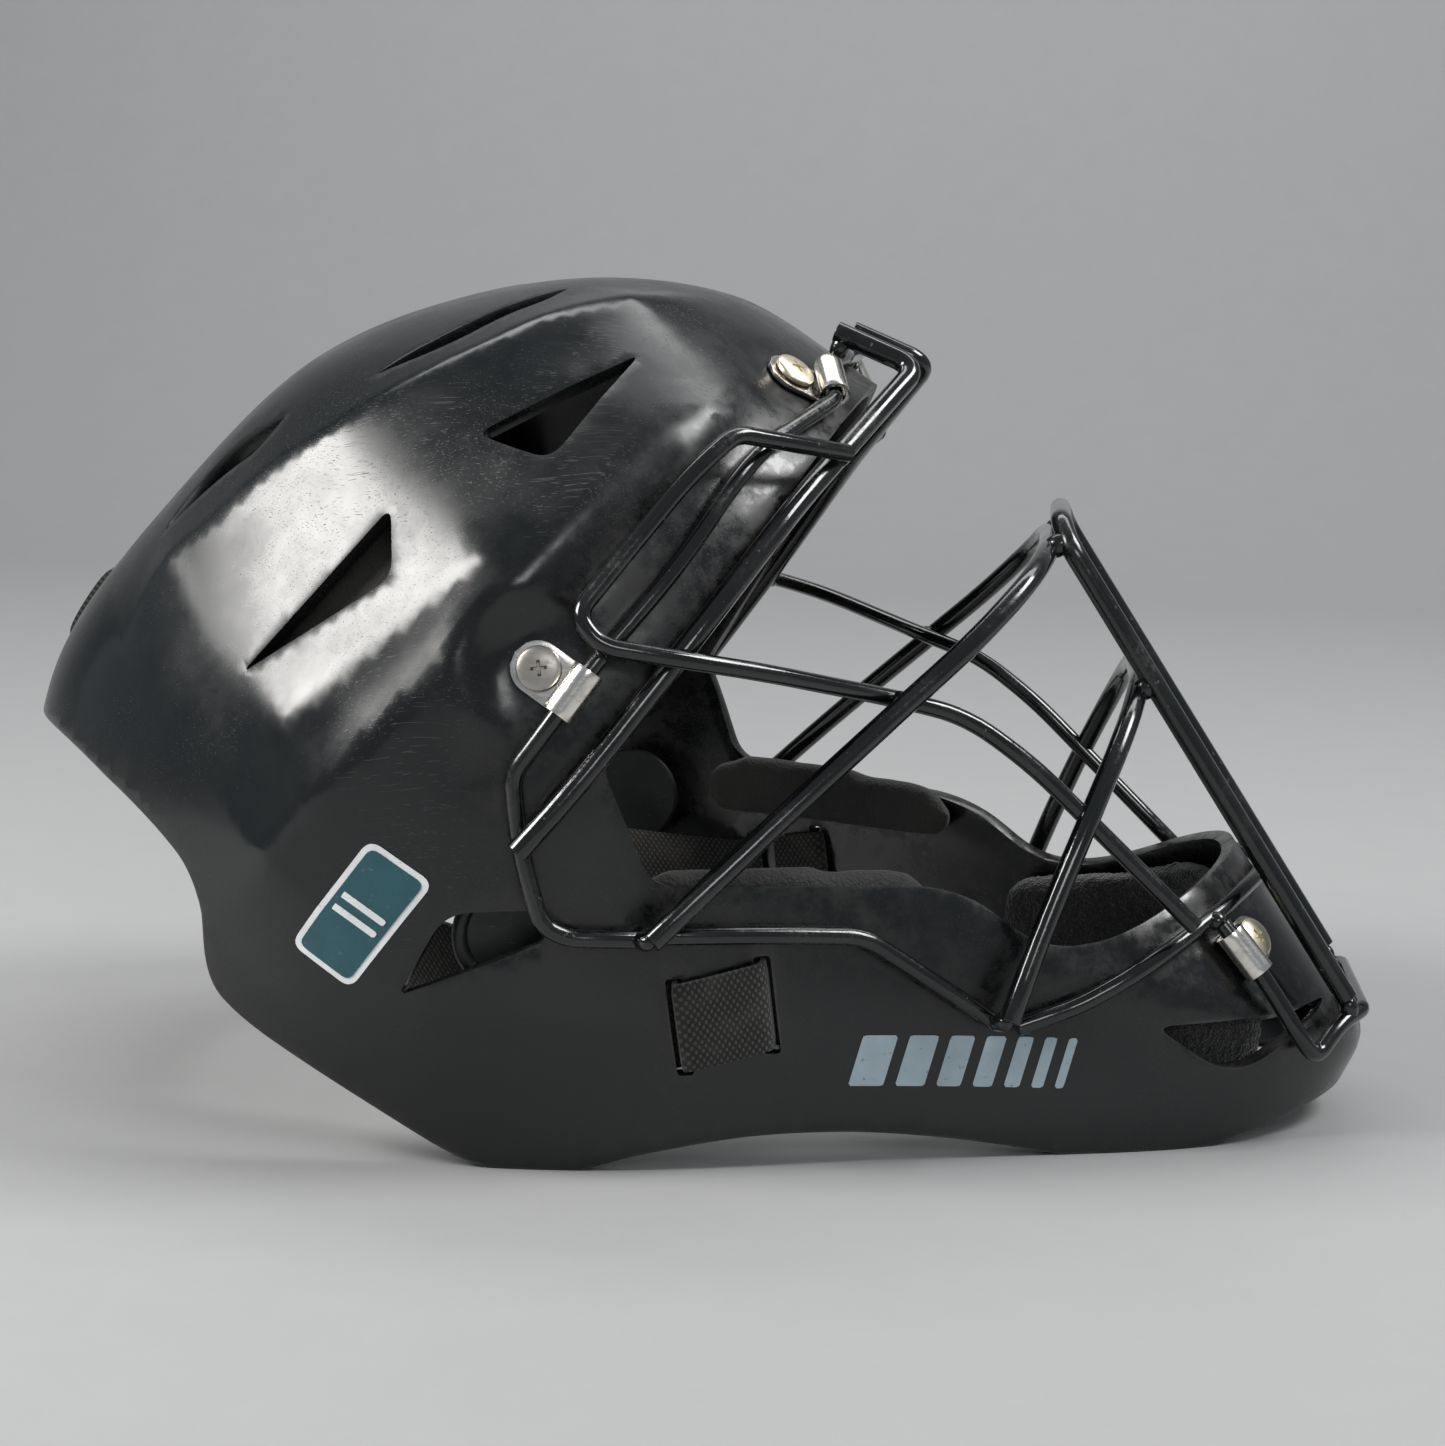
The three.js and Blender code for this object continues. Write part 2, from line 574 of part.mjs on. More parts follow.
// flat webbing along a list of centre points; wide is the direction across its width
function ribbon(points, wide, width = WEBBING.width, thickness = WEBBING.thickness) {
  const centres = vectors(points);
  const positions = [];
  const index = [];
  centres.forEach((centre, i) => {
    const back = i > 0 ? centre.clone().sub(centres[i - 1]).normalize() : null;
    const ahead = i < centres.length - 1 ? centres[i + 1].clone().sub(centre).normalize() : null;
    const along = (back ?? ahead).clone().add(ahead ?? back).normalize();
    const stretch = back && ahead ? 1 / Math.max(Math.cos(back.angleTo(ahead) / 2), 0.5) : 1;
    const across = wide.clone().setLength(width / 2);
    const through = new THREE.Vector3().crossVectors(along, across).setLength((thickness / 2) * stretch);
    for (const [u, v] of [[-1, -1], [1, -1], [1, 1], [-1, 1]]) {
      const corner = centre.clone().addScaledVector(across, u).addScaledVector(through, v);
      positions.push(corner.x, corner.y, corner.z);
    }
  });
  for (let i = 0; i < centres.length - 1; i += 1) {
    for (let k = 0; k < 4; k += 1) {
      const a = 4 * i + k;
      const b = 4 * i + ((k + 1) % 4);
      index.push(a, b, b + 4, a, b + 4, a + 4);
    }
  }
  const last = 4 * (centres.length - 1);
  index.push(0, 2, 1, 0, 3, 2, last, last + 1, last + 2, last, last + 2, last + 3);
  const geometry = new THREE.BufferGeometry();
  geometry.setAttribute('position', new THREE.Float32BufferAttribute(positions, 3));
  geometry.setIndex(index);
  return geometry;
}

// the side strap: from the plate's edge along the inside, out of the rear slot, over the bar, in again
function slotPoint({ x, z }, forward, depth) {
  const at = surfacePoint(x + forward, z + forward * 0.22);
  return at.add(new THREE.Vector3(0, -depth, 0));
}

const slotReach = SLOT.length / 2;
const slotTop = surfacePoint(REAR_SLOT.x - SLOT.lean * slotReach, REAR_SLOT.z + slotReach);
const slotFoot = surfacePoint(REAR_SLOT.x + SLOT.lean * slotReach, REAR_SLOT.z - slotReach);
const strapDown = slotFoot.clone().sub(slotTop).normalize();
const half = WEBBING.thickness / 2;
const inside = -(WALL + 2 + half);
const outside = 2 * GAP + half;
const sideStrap = [
  [PLATE.x + 12.5, -53.5, 44], [-70, -64, 43],
  slotPoint(REAR_SLOT, -8, inside), slotPoint(REAR_SLOT, -1.2, inside),
  slotPoint(REAR_SLOT, 0, inside + 1.2), slotPoint(REAR_SLOT, 0, 0.5),
  slotPoint(REAR_SLOT, 1.1, outside), slotPoint(REAR_SLOT, 9, outside),
  slotPoint(FRONT_SLOT, -1.1, outside), slotPoint(FRONT_SLOT, 0, 0.5),
  slotPoint(FRONT_SLOT, 0, inside), slotPoint(FRONT_SLOT, -1.2, inside - 1.2),
  slotPoint(FRONT_SLOT, -13, inside - 1.2),
];
const strapRight = ribbon(sideStrap, strapDown);
add('side_strap_right', strapRight, MATERIALS.webbing);
add('side_strap_left', mirroredGeometry(strapRight), MATERIALS.webbing);

// the rear anchor loop through the shell, and the strap from it to the plate
const crossways = new THREE.Vector3(0, 1, 0);

function anchorPoint(at, along, out) {
  return at.clone().addScaledVector(ANCHOR_ALONG, along).addScaledVector(ANCHOR_OUT, out);
}

add('anchor_loop', ribbon([
  anchorPoint(ANCHOR_LOW, 0, -6.5), anchorPoint(ANCHOR_LOW, 0, -0.5), anchorPoint(ANCHOR_LOW, 1.4, 2.2),
  anchorPoint(ANCHOR_HIGH, -1.4, 2.2), anchorPoint(ANCHOR_HIGH, 0, -0.5), anchorPoint(ANCHOR_HIGH, 0, -6.5),
], crossways), MATERIALS.webbing);

// the strap falls in a straight run that the slider sits on
const RUN_START = new THREE.Vector3(-143, 0, 97);
const RUN_END = new THREE.Vector3(-112, 0, 92.5);
add('top_strap', ribbon([
  anchorPoint(ANCHOR_LOW, 0, -8), RUN_START, RUN_END, [-107.5, 0, 89.5],
], crossways), MATERIALS.webbing);
const buckleFrame = new THREE.BoxGeometry(12, WEBBING.width + 8, 4.6);
const buckleSlot = new THREE.BoxGeometry(20, WEBBING.width + 1.2, WEBBING.thickness + 2 * GAP);
const buckle = toGeometry(toManifold(buckleFrame).subtract(toManifold(buckleSlot)));
const strapFall = Math.atan2(RUN_START.z - RUN_END.z, RUN_END.x - RUN_START.x);
const sliderAt = RUN_START.clone().lerp(RUN_END, 15 / 31);
buckle.applyMatrix4(new THREE.Matrix4().makeRotationY(strapFall).setPosition(sliderAt));
add('strap_slider', buckle, MATERIALS.plastic);

export default part;
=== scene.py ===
"""The looks of the catcher's mask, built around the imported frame.

Lengths below are in millimetres, in the frame's own axes: +X forward (chin), +Y the wearer's
left, +Z up, resting on the neck and jaw edges at z = 0. Meshes are made in metres.
"""
import itertools
import math

import bpy
import numpy as np
from mathutils import Matrix, Vector
from mathutils.geometry import delaunay_2d_cdt
from mathutils.kdtree import KDTree


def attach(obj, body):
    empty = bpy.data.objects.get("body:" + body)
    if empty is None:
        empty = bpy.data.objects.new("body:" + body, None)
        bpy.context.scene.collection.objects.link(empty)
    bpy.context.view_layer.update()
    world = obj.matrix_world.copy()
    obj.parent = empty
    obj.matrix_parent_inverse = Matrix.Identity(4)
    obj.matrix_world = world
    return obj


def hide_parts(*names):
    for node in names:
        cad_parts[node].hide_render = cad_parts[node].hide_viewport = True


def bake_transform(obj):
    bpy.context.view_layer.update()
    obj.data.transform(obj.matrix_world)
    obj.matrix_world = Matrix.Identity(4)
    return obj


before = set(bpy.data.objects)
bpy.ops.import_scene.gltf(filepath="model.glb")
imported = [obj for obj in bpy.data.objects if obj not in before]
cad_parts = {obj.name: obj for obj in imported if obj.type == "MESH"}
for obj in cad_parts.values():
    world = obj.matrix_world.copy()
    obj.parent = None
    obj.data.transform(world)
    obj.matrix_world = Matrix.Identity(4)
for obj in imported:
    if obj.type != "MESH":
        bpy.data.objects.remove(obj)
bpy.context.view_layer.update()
bpy.ops.object.select_all(action="DESELECT")

MM = 0.001
HELMET = "helmet"
REAR = "rear_plate"

# ------------------------------------------------------------------ driving dimensions
WALL = 3.5
GAP = 0.35
THICK_WIRE = 2.5
THIN_WIRE = 2.0
HALF_WIDTH = 118
CHIN_HALF_WIDTH = 66
BULGE = 2.3
CROWN = 2.2
CENTRE = np.array([10.0, 70.0])
CLIP = {"width": 11.6, "thickness": 1.0, "loop": 3.5, "reach": 8.9, "tail": 6.2}
SCREW_HEAD = {"radius": 4.9, "height": 2.0}
WEBBING = {"width": 20.0, "thickness": 1.8, "warp": 2.1, "pick": 1.5}

SILHOUETTE = [
    (36, 173.5), (7, 190), (-22, 194.5), (-57, 189.5), (-94, 173.6), (-129.8, 137.4), (-153, 106.5),
    (-160.5, 84), (-167, 20), (-150, -35), (-104, -82), (10, -120), (97, -86), (146, -26),
    (158, 5), (163.5, 20), (157, 30), (142.3, 49.2), (130, 65.4), (116, 86), (99, 112),
    (80, 136), (58, 158),
]
BODY_OUTLINE = [
    (-200, 240), (-200, 89), (-160, 88.5), (-139, 86, 12), (-114, 73, 10), (-99, 61, 12),
    (-97, 38, 9), (-88, 30, 9), (-41, 2.5, 9), (-33, 0), (-13, 0), (0, 3.8, 8), (22, 7.6, 16),
    (46, 7.6, 16), (70, 4.5, 12), (92, 0), (126, 0), (160, 9), (220, 25), (220, 240),
]
FACE_OPENING = [
    (73, 224), (-9, 90.5, 3), (1.4, 64.2, 6), (66, 61.5, 12), (86, 46.6, 9), (104, 48.6, 14),
    (134, 66), (260, 130), (260, 224),
]
SIDE_VENTS = [
    [(-40.5, 157.5, 3), (-8.5, 175, 2.5), (-23.5, 152.5, 4)],
    [(-89.5, 105.2, 2.5), (-57.6, 142, 3), (-55, 127.6, 4)],
    [(-51, 40, 2), (-41, 58.8, 6), (-22, 59.6, 3), (-19.5, 53, 2)],
    [(112, 29, 4), (153.5, 31, 3), (131, 15.5, 10)],
]
TOP_VENTS = [
    [(-68, -63.5, 2), (-52, -54, 8), (-29, -36.5, 2), (-33, -48, 4), (-52, -63, 8)],
    [(-119, -53.5, 2), (-108, -46.5, 6), (-89, -57, 2), (-94, -62.5, 3), (-106, -57, 5)],
]
SLOT = {"length": WEBBING["width"] + 2, "gap": 3.6, "lean": 0.14}
REAR_SLOT = (8.1, 33.1)
FRONT_SLOT = (26.3, 37.2)
ANCHOR_LOW = Vector((-154.7, 0, 102.5))
ANCHOR_HIGH = Vector((-143.9, 0, 119.5))

# creases pressed into the shell: side-view line, height, and how far each spreads
CREASES = [
    ([(16.4, 174.6), (7.4, 161.6), (-1.6, 149.7), (-21, 136), (-37.9, 111.3), (-56.9, 92.9),
      (-66, 83.1), (-81.5, 66.6), (-94.6, 49.8)], 6.6, 21.0),
    ([(9.3, 190.2), (-28, 182), (-39.1, 175.1), (-58.7, 165), (-74.4, 154.5), (-87.6, 146.6),
      (-100.4, 134.2), (-111.1, 126.1), (-126, 108)], 5.2, 16.0),
    ([(-25.4, 138.8), (-52.9, 118.1), (-85.8, 86.3)], 2.2, 11.0),
]


# ------------------------------------------------------------------ the shell's surface
def closed_curve(corners, steps):
    """Points along a closed centripetal curve through the corners."""
    corners = [np.array(c, float) for c in corners]
    count = len(corners)
    points = []
    for i in range(count):
        p0, p1, p2, p3 = (corners[(i + k - 1) % count] for k in range(4))
        t1 = np.linalg.norm(p1 - p0) ** 0.5
        t2 = t1 + np.linalg.norm(p2 - p1) ** 0.5
        t3 = t2 + np.linalg.norm(p3 - p2) ** 0.5
        for t in np.linspace(t1, t2, steps, endpoint=False):
            a1 = (t1 - t) / t1 * p0 + t / t1 * p1
            a2 = (t2 - t) / (t2 - t1) * p1 + (t - t1) / (t2 - t1) * p2
            a3 = (t3 - t) / (t3 - t2) * p2 + (t - t2) / (t3 - t2) * p3
            b1 = (t2 - t) / t2 * a1 + t / t2 * a2
            b2 = (t3 - t) / (t3 - t1) * a2 + (t - t1) / (t3 - t1) * a3
            points.append((t2 - t) / (t2 - t1) * b1 + (t - t1) / (t2 - t1) * b2)
    return np.array(points)


OUTER_EDGE = closed_curve(SILHOUETTE, 40)
EDGE_ANGLES = np.arctan2(OUTER_EDGE[:, 1] - CENTRE[1], OUTER_EDGE[:, 0] - CENTRE[0])
EDGE_REACHES = np.hypot(OUTER_EDGE[:, 0] - CENTRE[0], OUTER_EDGE[:, 1] - CENTRE[1])


def smoothstep(value, low, high):
    t = np.clip((np.asarray(value, float) - low) / (high - low), 0, 1)
    return t * t * (3 - 2 * t)


def reach_at(angle):
    return np.interp(angle, EDGE_ANGLES, EDGE_REACHES, period=2 * math.pi)


def full_half_width(x, z):
    wide = HALF_WIDTH * (1 - 0.06 * smoothstep(40 - z, 0, 40))
    narrow = CHIN_HALF_WIDTH + 0.2 * np.maximum(0, 62 - z)
    leaning = x - 0.2 * np.maximum(0, z - 70)
    return wide - (wide - narrow) * smoothstep(leaning, -50, 100)


def share_at(x, z):
    dx, dz = x - CENTRE[0], z - CENTRE[1]
    return np.hypot(dx, dz) / reach_at(np.arctan2(dz, dx))


def side_point(x, z):
    """Points on the plain right-hand (-Y) surface over side-view points."""
    x, z = np.asarray(x, float), np.asarray(z, float)
    share = np.minimum(share_at(x, z), 1)
    y = -full_half_width(x, z) * (1 - share ** BULGE) ** (1 / CROWN)
    return np.stack([x, y, z], axis=-1)


def level_at(points, inset=0.0):
    """Over 1 outside the surface moved inwards by inset, under 1 inside it."""
    x, y, z = points[..., 0], points[..., 1], points[..., 2]
    dx, dz = x - CENTRE[0], z - CENTRE[1]
    share = np.hypot(dx, dz) / (reach_at(np.arctan2(dz, dx)) - inset)
    return (np.abs(y) / (full_half_width(x, z) - inset)) ** CROWN + share ** BULGE


def outward(points):
    slopes = []
    for axis in range(3):
        step = np.zeros(3)
        step[axis] = 0.8
        slopes.append(level_at(points + step) - level_at(points - step))
    normal = np.stack(slopes, axis=-1)
    return normal / np.linalg.norm(normal, axis=-1, keepdims=True)


def resampled(points, spacing):
    """The same line with its points spacing apart."""
    points = np.asarray(points, float)
    lengths = np.concatenate([[0], np.cumsum(np.linalg.norm(np.diff(points, axis=0), axis=1))])
    count = max(2, int(round(lengths[-1] / spacing)) + 1)
    at = np.linspace(0, lengths[-1], count)
    return np.stack([np.interp(at, lengths, points[:, k]) for k in range(points.shape[1])], axis=1)


def smooth_line(corners, spacing):
    """An open line through the corners, rounded by repeated corner cutting."""
    points = np.asarray(corners, float)
    for _ in range(3):
        before, after = points[:-1], points[1:]
        cut = np.empty((2 * len(before), points.shape[1]))
        cut[0::2] = before * 0.75 + after * 0.25
        cut[1::2] = before * 0.25 + after * 0.75
        points = np.vstack([points[:1], cut, points[-1:]])
    return resampled(points, spacing)


def seat_frame(x, z, heading):
    """Where a clip sits: its screw on the shell, the way to the wire, the wire's way, the normal."""
    at = side_point(x, z)
    normal = Vector(outward(at))
    heading = Vector(heading)
    reach = (heading - normal * heading.dot(normal)).normalized()
    along = normal.cross(reach)
    screw = Vector(at) + normal * GAP
    wire = screw + reach * CLIP["reach"] + normal * CLIP["loop"]
    return {"normal": normal, "reach": reach, "along": along, "screw": screw, "wire": wire}


SEATS = {
    "forehead": seat_frame(23.2, 172.6, (1, 0.35, -0.1)),
    "temple": seat_frame(-22.8, 111, (0.83, 0, -0.56)),
    "chin": seat_frame(133.2, 45.4, (-0.45, -0.8, -0.35)),
}


# ------------------------------------------------------------------ the wire cage's lines
def off_shell(x, z):
    at = side_point(x, z)
    return Vector(at + outward(at) * (THIN_WIRE + 0.7))


def through_clip(place):
    seat = SEATS[place]
    half = seat["along"] * (CLIP["width"] / 2 + 1.5)
    return [seat["wire"] - half, seat["wire"] + half]


def across(right):
    right = [Vector(p) for p in right]
    return right + [Vector((p.x, -p.y, p.z)) for p in reversed(right)]


def mirrored(points):
    return [Vector((p[0], -p[1], p[2])) for p in points]


CHIN_SEAT = SEATS["chin"]
BROW_LINE = [
    (32.5, -31, 183.3), (51.5, -33, 175.6), (38, -57, 158.6), (28.7, -77.6, 146.6),
    (19.6, -92, 133.4), (10.2, -102.2, 119.8), (-7.9, -113, 94.6), (-16, -117.6, 84),
    (-25.1, -121.4, 73.2),
]
TEMPLE_LINE = [
    (38.6, -66.5, 156.8), (15.4, -88, 161.2), (6.7, -96.5, 152.5), (-3, -105, 139.3),
    (-14.6, -115, 123.2), (-9, -116, 117), (5.9, -111.4, 114.5), (23.2, -100, 111.2),
    (51.6, -73.5, 103.4), (66.6, -65, 99.2), (81.9, -61.5, 88.2), (93.4, -59.5, 77.4),
    (104.7, -58, 66.7), (120, -56.5, 52.2),
]
JAW_LINE = [(4, -105.9, 54), (28.7, -93.6, 53.1), (46.5, -84.2, 51.8), (54, -80.6, 46.6),
            (75.6, -72.4, 31.7)]
WIRES = {
    "perimeter_wire": (across([
        (-0.2, -107.9, 53.4), (-15, -113.4, 54), (-20.5, -115.2, 57), (-25.2, -116.3, 73),
        (-27.2, -116.3, 89), *through_clip("temple"), (5.3, -100, 133.5), (14.2, -87, 149.2),
        (20.8, -75.5, 158.4), *through_clip("forehead"), (34.2, -24, 177.6),
    ]), THIN_WIRE, 9),
    "brow_wire_right": (BROW_LINE, THICK_WIRE, 5),
    "brow_wire_left": (mirrored(BROW_LINE), THICK_WIRE, 5),
    "temple_wire_right": (TEMPLE_LINE, THIN_WIRE, 9),
    "temple_wire_left": (mirrored(TEMPLE_LINE), THIN_WIRE, 9),
    "eye_loop": (across([
        (2.8, -112.5, 53.8), (28.2, -97, 79), (52.4, -79.2, 101.8), (68.2, -69, 116.5),
        (79.5, -55, 129), (83, -38, 134.2), (83.6, -18, 135),
    ]), THICK_WIRE, 40),
    "front_bars": (across([(157.1, -32, 32.4), (88.1, -33, 136), (86, -26, 141.3)]), THICK_WIRE, 8),
    "mouth_loop": (across([
        (79, -77.2, 32.7), (85.7, -70.5, 53), (94.3, -62.5, 75.3), (102.6, -48, 95),
        (106, -28, 104.5),
    ]), THICK_WIRE, 25),
    "chin_top_wire": (across([
        (80.8, -70.8, 30.3), off_shell(94, 34.6), off_shell(103, 39.4), off_shell(111, 43.6),
        off_shell(118.5, 48.2), off_shell(125, 52), off_shell(131, 55.6), (137.8, -12, 58.8),
    ]), THIN_WIRE, 14),
    "jaw_wire_right": (JAW_LINE, THIN_WIRE, 12),
    "jaw_wire_left": (mirrored(JAW_LINE), THIN_WIRE, 12),
    "chin_clip_wire": (across([
        CHIN_SEAT["wire"] - CHIN_SEAT["along"] * 8.4, CHIN_SEAT["wire"] + CHIN_SEAT["along"] * 8,
        (145.1, -45, 26.3), (149.6, -42, 20), (155.3, -35, 27), (161, -27, 29.2),
    ]), THIN_WIRE, 5),
}


SHALLOW_TURN = 0.62     # radians; turns under this are eased over the whole run


def bent_rod(corners, bend):
    """Points along straight runs joined by rounded corners."""
    corners = [Vector(c) for c in corners]
    points = [corners[0]]
    for before, corner, after in zip(corners, corners[1:], corners[2:]):
        back, ahead = before - corner, after - corner
        turn = math.pi - back.angle(ahead)
        wanted = bend * math.tan(turn / 2) if turn > SHALLOW_TURN else math.inf
        cut = min(wanted, back.length * 0.49, ahead.length * 0.49)
        start = corner + back.normalized() * cut
        end = corner + ahead.normalized() * cut
        steps = max(5, round(turn / 0.08))
        for k in range(steps + 1):
            t = k / steps
            points.append(start * (1 - t) ** 2 + corner * 2 * t * (1 - t) + end * t * t)
    points.append(corners[-1])
    return points


WIRE_PATHS = {name: bent_rod(line, bend) for name, (line, _, bend) in WIRES.items()}


# ------------------------------------------------------------------ how far the shell stands proud
def crease_points(line):
    line = smooth_line(line, 0.5)
    return side_point(line[:, 0], line[:, 1])


CREASE_LINES = [(crease_points(line), height, spread) for line, height, spread in CREASES]
NEAR_WIRES = np.vstack([
    resampled([tuple(p) for p in WIRE_PATHS[name]], 3.0)
    for name in ("perimeter_wire", "temple_wire_right", "brow_wire_right")
])
SEAT_SPOTS = np.array([tuple(seat["screw"]) for seat in SEATS.values()])


def nearest(points, targets):
    """Distance from each point to the nearest target, and which one it is."""
    gaps = np.full(len(points), np.inf)
    which = np.zeros(len(points), int)
    for start in range(0, len(targets), 64):
        block = targets[start:start + 64]
        far = np.linalg.norm(points[:, None, :] - block[None, :, :], axis=2)
        best = far.argmin(axis=1)
        closer = far[np.arange(len(points)), best] < gaps
        gaps[closer] = far[np.arange(len(points)), best][closer]
        which[closer] = best[closer] + start
    return gaps, which


def lift_at(points):
    """Height of the creases over the plain surface, kept down under wires and clips."""
    points = np.atleast_2d(points)
    lift = np.zeros(len(points))
    for line, height, spread in CREASE_LINES:
        gap, which = nearest(points, line)
        along = np.minimum(which, len(line) - 1 - which) / (0.14 * len(line))
        soft_gap = np.sqrt(gap ** 2 + 1.2 ** 2) - 1.2
        lift += height * np.clip(along, 0, 1) * np.exp(-soft_gap / spread)
    wire_gap, _ = nearest(points, NEAR_WIRES)
    seat_gap, _ = nearest(points, SEAT_SPOTS)
    room = 0.12 + 0.88 * smoothstep(wire_gap, 3.5, 17)
    return lift * room * smoothstep(seat_gap, 7, 17)


def skin(x, z, offset=0.0):
    """Points on the finished right-hand outer surface, offset mm off it."""
    at = np.atleast_2d(side_point(np.atleast_1d(x), np.atleast_1d(z)))
    return at + outward(at) * (lift_at(at) + offset)[:, None]


# ------------------------------------------------------------------ outlines and nets
def rounded(corners, step=0.5):
    """A closed outline with its corners rounded, with points step apart."""
    points = [np.array(c[:2], float) for c in corners]
    radii = [c[2] if len(c) > 2 else 0 for c in corners]
    line = []
    for i, corner in enumerate(points):
        before, after = points[i - 1], points[(i + 1) % len(points)]
        back, ahead = before - corner, after - corner
        cut_in = min(radii[i], np.linalg.norm(back) * 0.45)
        cut_out = min(radii[i], np.linalg.norm(ahead) * 0.45)
        start = corner + back / np.linalg.norm(back) * cut_in
        end = corner + ahead / np.linalg.norm(ahead) * cut_out
        line.append(start)
        if radii[i]:
            for t in np.linspace(0, 1, 9)[1:]:
                line.append(start * (1 - t) ** 2 + corner * 2 * t * (1 - t) + end * t * t)
    line.append(line[0])
    dense = []
    for a, b in zip(line, line[1:]):
        count = max(1, int(np.linalg.norm(b - a) / step))
        dense += [a + (b - a) * k / count for k in range(count)]
    return np.array(dense)


def within(points, outline):
    """Which points lie inside a closed outline."""
    x, y = points[:, 0][:, None], points[:, 1][:, None]
    x1, y1 = outline[:, 0][None, :], outline[:, 1][None, :]
    x2, y2 = np.roll(outline[:, 0], -1)[None, :], np.roll(outline[:, 1], -1)[None, :]
    crosses = (y1 > y) != (y2 > y)
    slope = np.where(y2 == y1, 1e-12, y2 - y1)
    hits = crosses & (x < (x2 - x1) * (y - y1) / slope + x1)
    return hits.sum(axis=1) % 2 == 1


def net(lines, spacing, inside):
    """An even net of triangles over a flat region, whose edges follow the lines."""
    points, edges = [], []
    for line in lines:
        first = len(points)
        points += [tuple(p) for p in line]
        edges += [(first + i, first + i + 1) for i in range(len(line) - 1)]
    tree = KDTree(len(points))
    for i, p in enumerate(points):
        tree.insert((p[0], p[1], 0), i)
    tree.balance()
    low, high = np.min(points, axis=0), np.max(points, axis=0)
    rows = np.arange(low[1], high[1], spacing * math.sqrt(3) / 2)
    lattice = np.array([
        (x + (spacing / 2 if k % 2 else 0), y)
        for k, y in enumerate(rows) for x in np.arange(low[0], high[0], spacing)
    ])
    lattice = lattice[inside(lattice)]
    points += [tuple(p) for p in lattice if tree.find((p[0], p[1], 0))[2] > 0.62 * spacing]
    found = delaunay_2d_cdt([Vector(p) for p in points], edges, [], 0, 1e-4)
    flat = np.array([tuple(v) for v in found[0]])
    faces = np.array([f for f in found[2] if len(f) == 3])
    faces = faces[inside(flat[faces].mean(axis=1))]
    used = np.unique(faces)
    renumber = np.full(len(flat), -1)
    renumber[used] = np.arange(len(used))
    return flat[used], renumber[faces]


# ------------------------------------------------------------------ making and finishing meshes
def piece_from(name, points, faces):
    """A new object from points in millimetres."""
    mesh = bpy.data.meshes.new(name)
    mesh.from_pydata([tuple(float(c) * MM for c in p) for p in points], [],
                     [tuple(int(i) for i in f) for f in faces])
    piece = bpy.data.objects.new(name, mesh)
    bpy.context.scene.collection.objects.link(piece)
    choose(piece)
    return piece


def strip_faces(rows, columns, closed=False):
    """Faces between rows of points, each columns long; closed joins the ends of every row."""
    faces = []
    for i in range(rows - 1):
        for k in range(columns if closed else columns - 1):
            a, b = i * columns + k, i * columns + (k + 1) % columns
            faces.append((a, b, b + columns, a + columns))
    return faces


def choose(piece):
    bpy.ops.object.select_all(action="DESELECT")
    piece.select_set(True)
    bpy.context.view_layer.objects.active = piece


def modify(piece, kind, **settings):
    """Adds one modifier and applies it."""
    choose(piece)
    modifier = piece.modifiers.new(kind.title(), kind)
    for key, value in settings.items():
        setattr(modifier, key, value)
    bpy.ops.object.modifier_apply(modifier=modifier.name)


def soften(piece, width, angle, segments=2):
    """Rounds the edges that turn more than angle degrees."""
    modify(piece, "BEVEL", width=width * MM, segments=segments, limit_method="ANGLE",
           angle_limit=math.radians(angle))


def outwards_again(piece):
    choose(piece)
    bpy.ops.object.mode_set(mode="EDIT")
    bpy.ops.mesh.select_all(action="SELECT")
    bpy.ops.mesh.remove_doubles(threshold=0.00001)
    bpy.ops.mesh.normals_make_consistent(inside=False)
    bpy.ops.object.mode_set(mode="OBJECT")


def smooth(piece, angle=None):
    choose(piece)
    if angle is None:
        bpy.ops.object.shade_smooth()
    else:
        bpy.ops.object.shade_smooth_by_angle(angle=math.radians(angle))


def settle(piece):
    """Puts a piece's place into its mesh."""
    choose(piece)
    bpy.ops.object.transform_apply(location=True, rotation=True, scale=True)


def finished(piece, body, material, slot, *nodes):
    """Gives a piece its finish and its body, and hides the CAD nodes that it stands for."""
    piece.data.materials.clear()
    piece.data.materials.append(material)
    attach(piece, body)
    if nodes:
        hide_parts(*nodes)
    return piece


def moved_copy(piece, name, matrix):
    """A copy with its own mesh, moved by the matrix, faces still outwards if it mirrors."""
    copy = piece.copy()
    copy.data = piece.data.copy()
    copy.name = name
    copy.data.name = name
    bpy.context.scene.collection.objects.link(copy)
    copy.data.transform(matrix)
    if matrix.determinant() < 0:
        copy.data.flip_normals()
    return copy


MIRROR = Matrix.Diagonal((1, -1, 1, 1))


def seat_matrix(seat):
    """From a clip's own millimetres to the frame's metres."""
    axes = Matrix((seat["reach"], seat["along"], seat["normal"])).transposed().to_4x4()
    return Matrix.Diagonal((MM, MM, MM, 1)) @ Matrix.Translation(seat["screw"]) @ axes


# ------------------------------------------------------------------ finishes
def new_finish(name):
    material = bpy.data.materials.new(name)
    material.use_nodes = True
    tree = material.node_tree
    place = tree.nodes.new("ShaderNodeTexCoord")
    return material, tree, tree.nodes["Principled BSDF"], place


def node(tree, kind, settings=None, **inputs):
    """A shader node; an input that is a socket is linked, any other is set."""
    made = tree.nodes.new("ShaderNode" + kind)
    for key, value in (settings or {}).items():
        setattr(made, key, value)
    for key, value in inputs.items():
        socket = made.inputs[int(key[1:])] if key[0] == "i" and key[1:].isdigit() else made.inputs[key]
        if isinstance(value, bpy.types.NodeSocket):
            tree.links.new(value, socket)
        else:
            socket.default_value = value
    return made


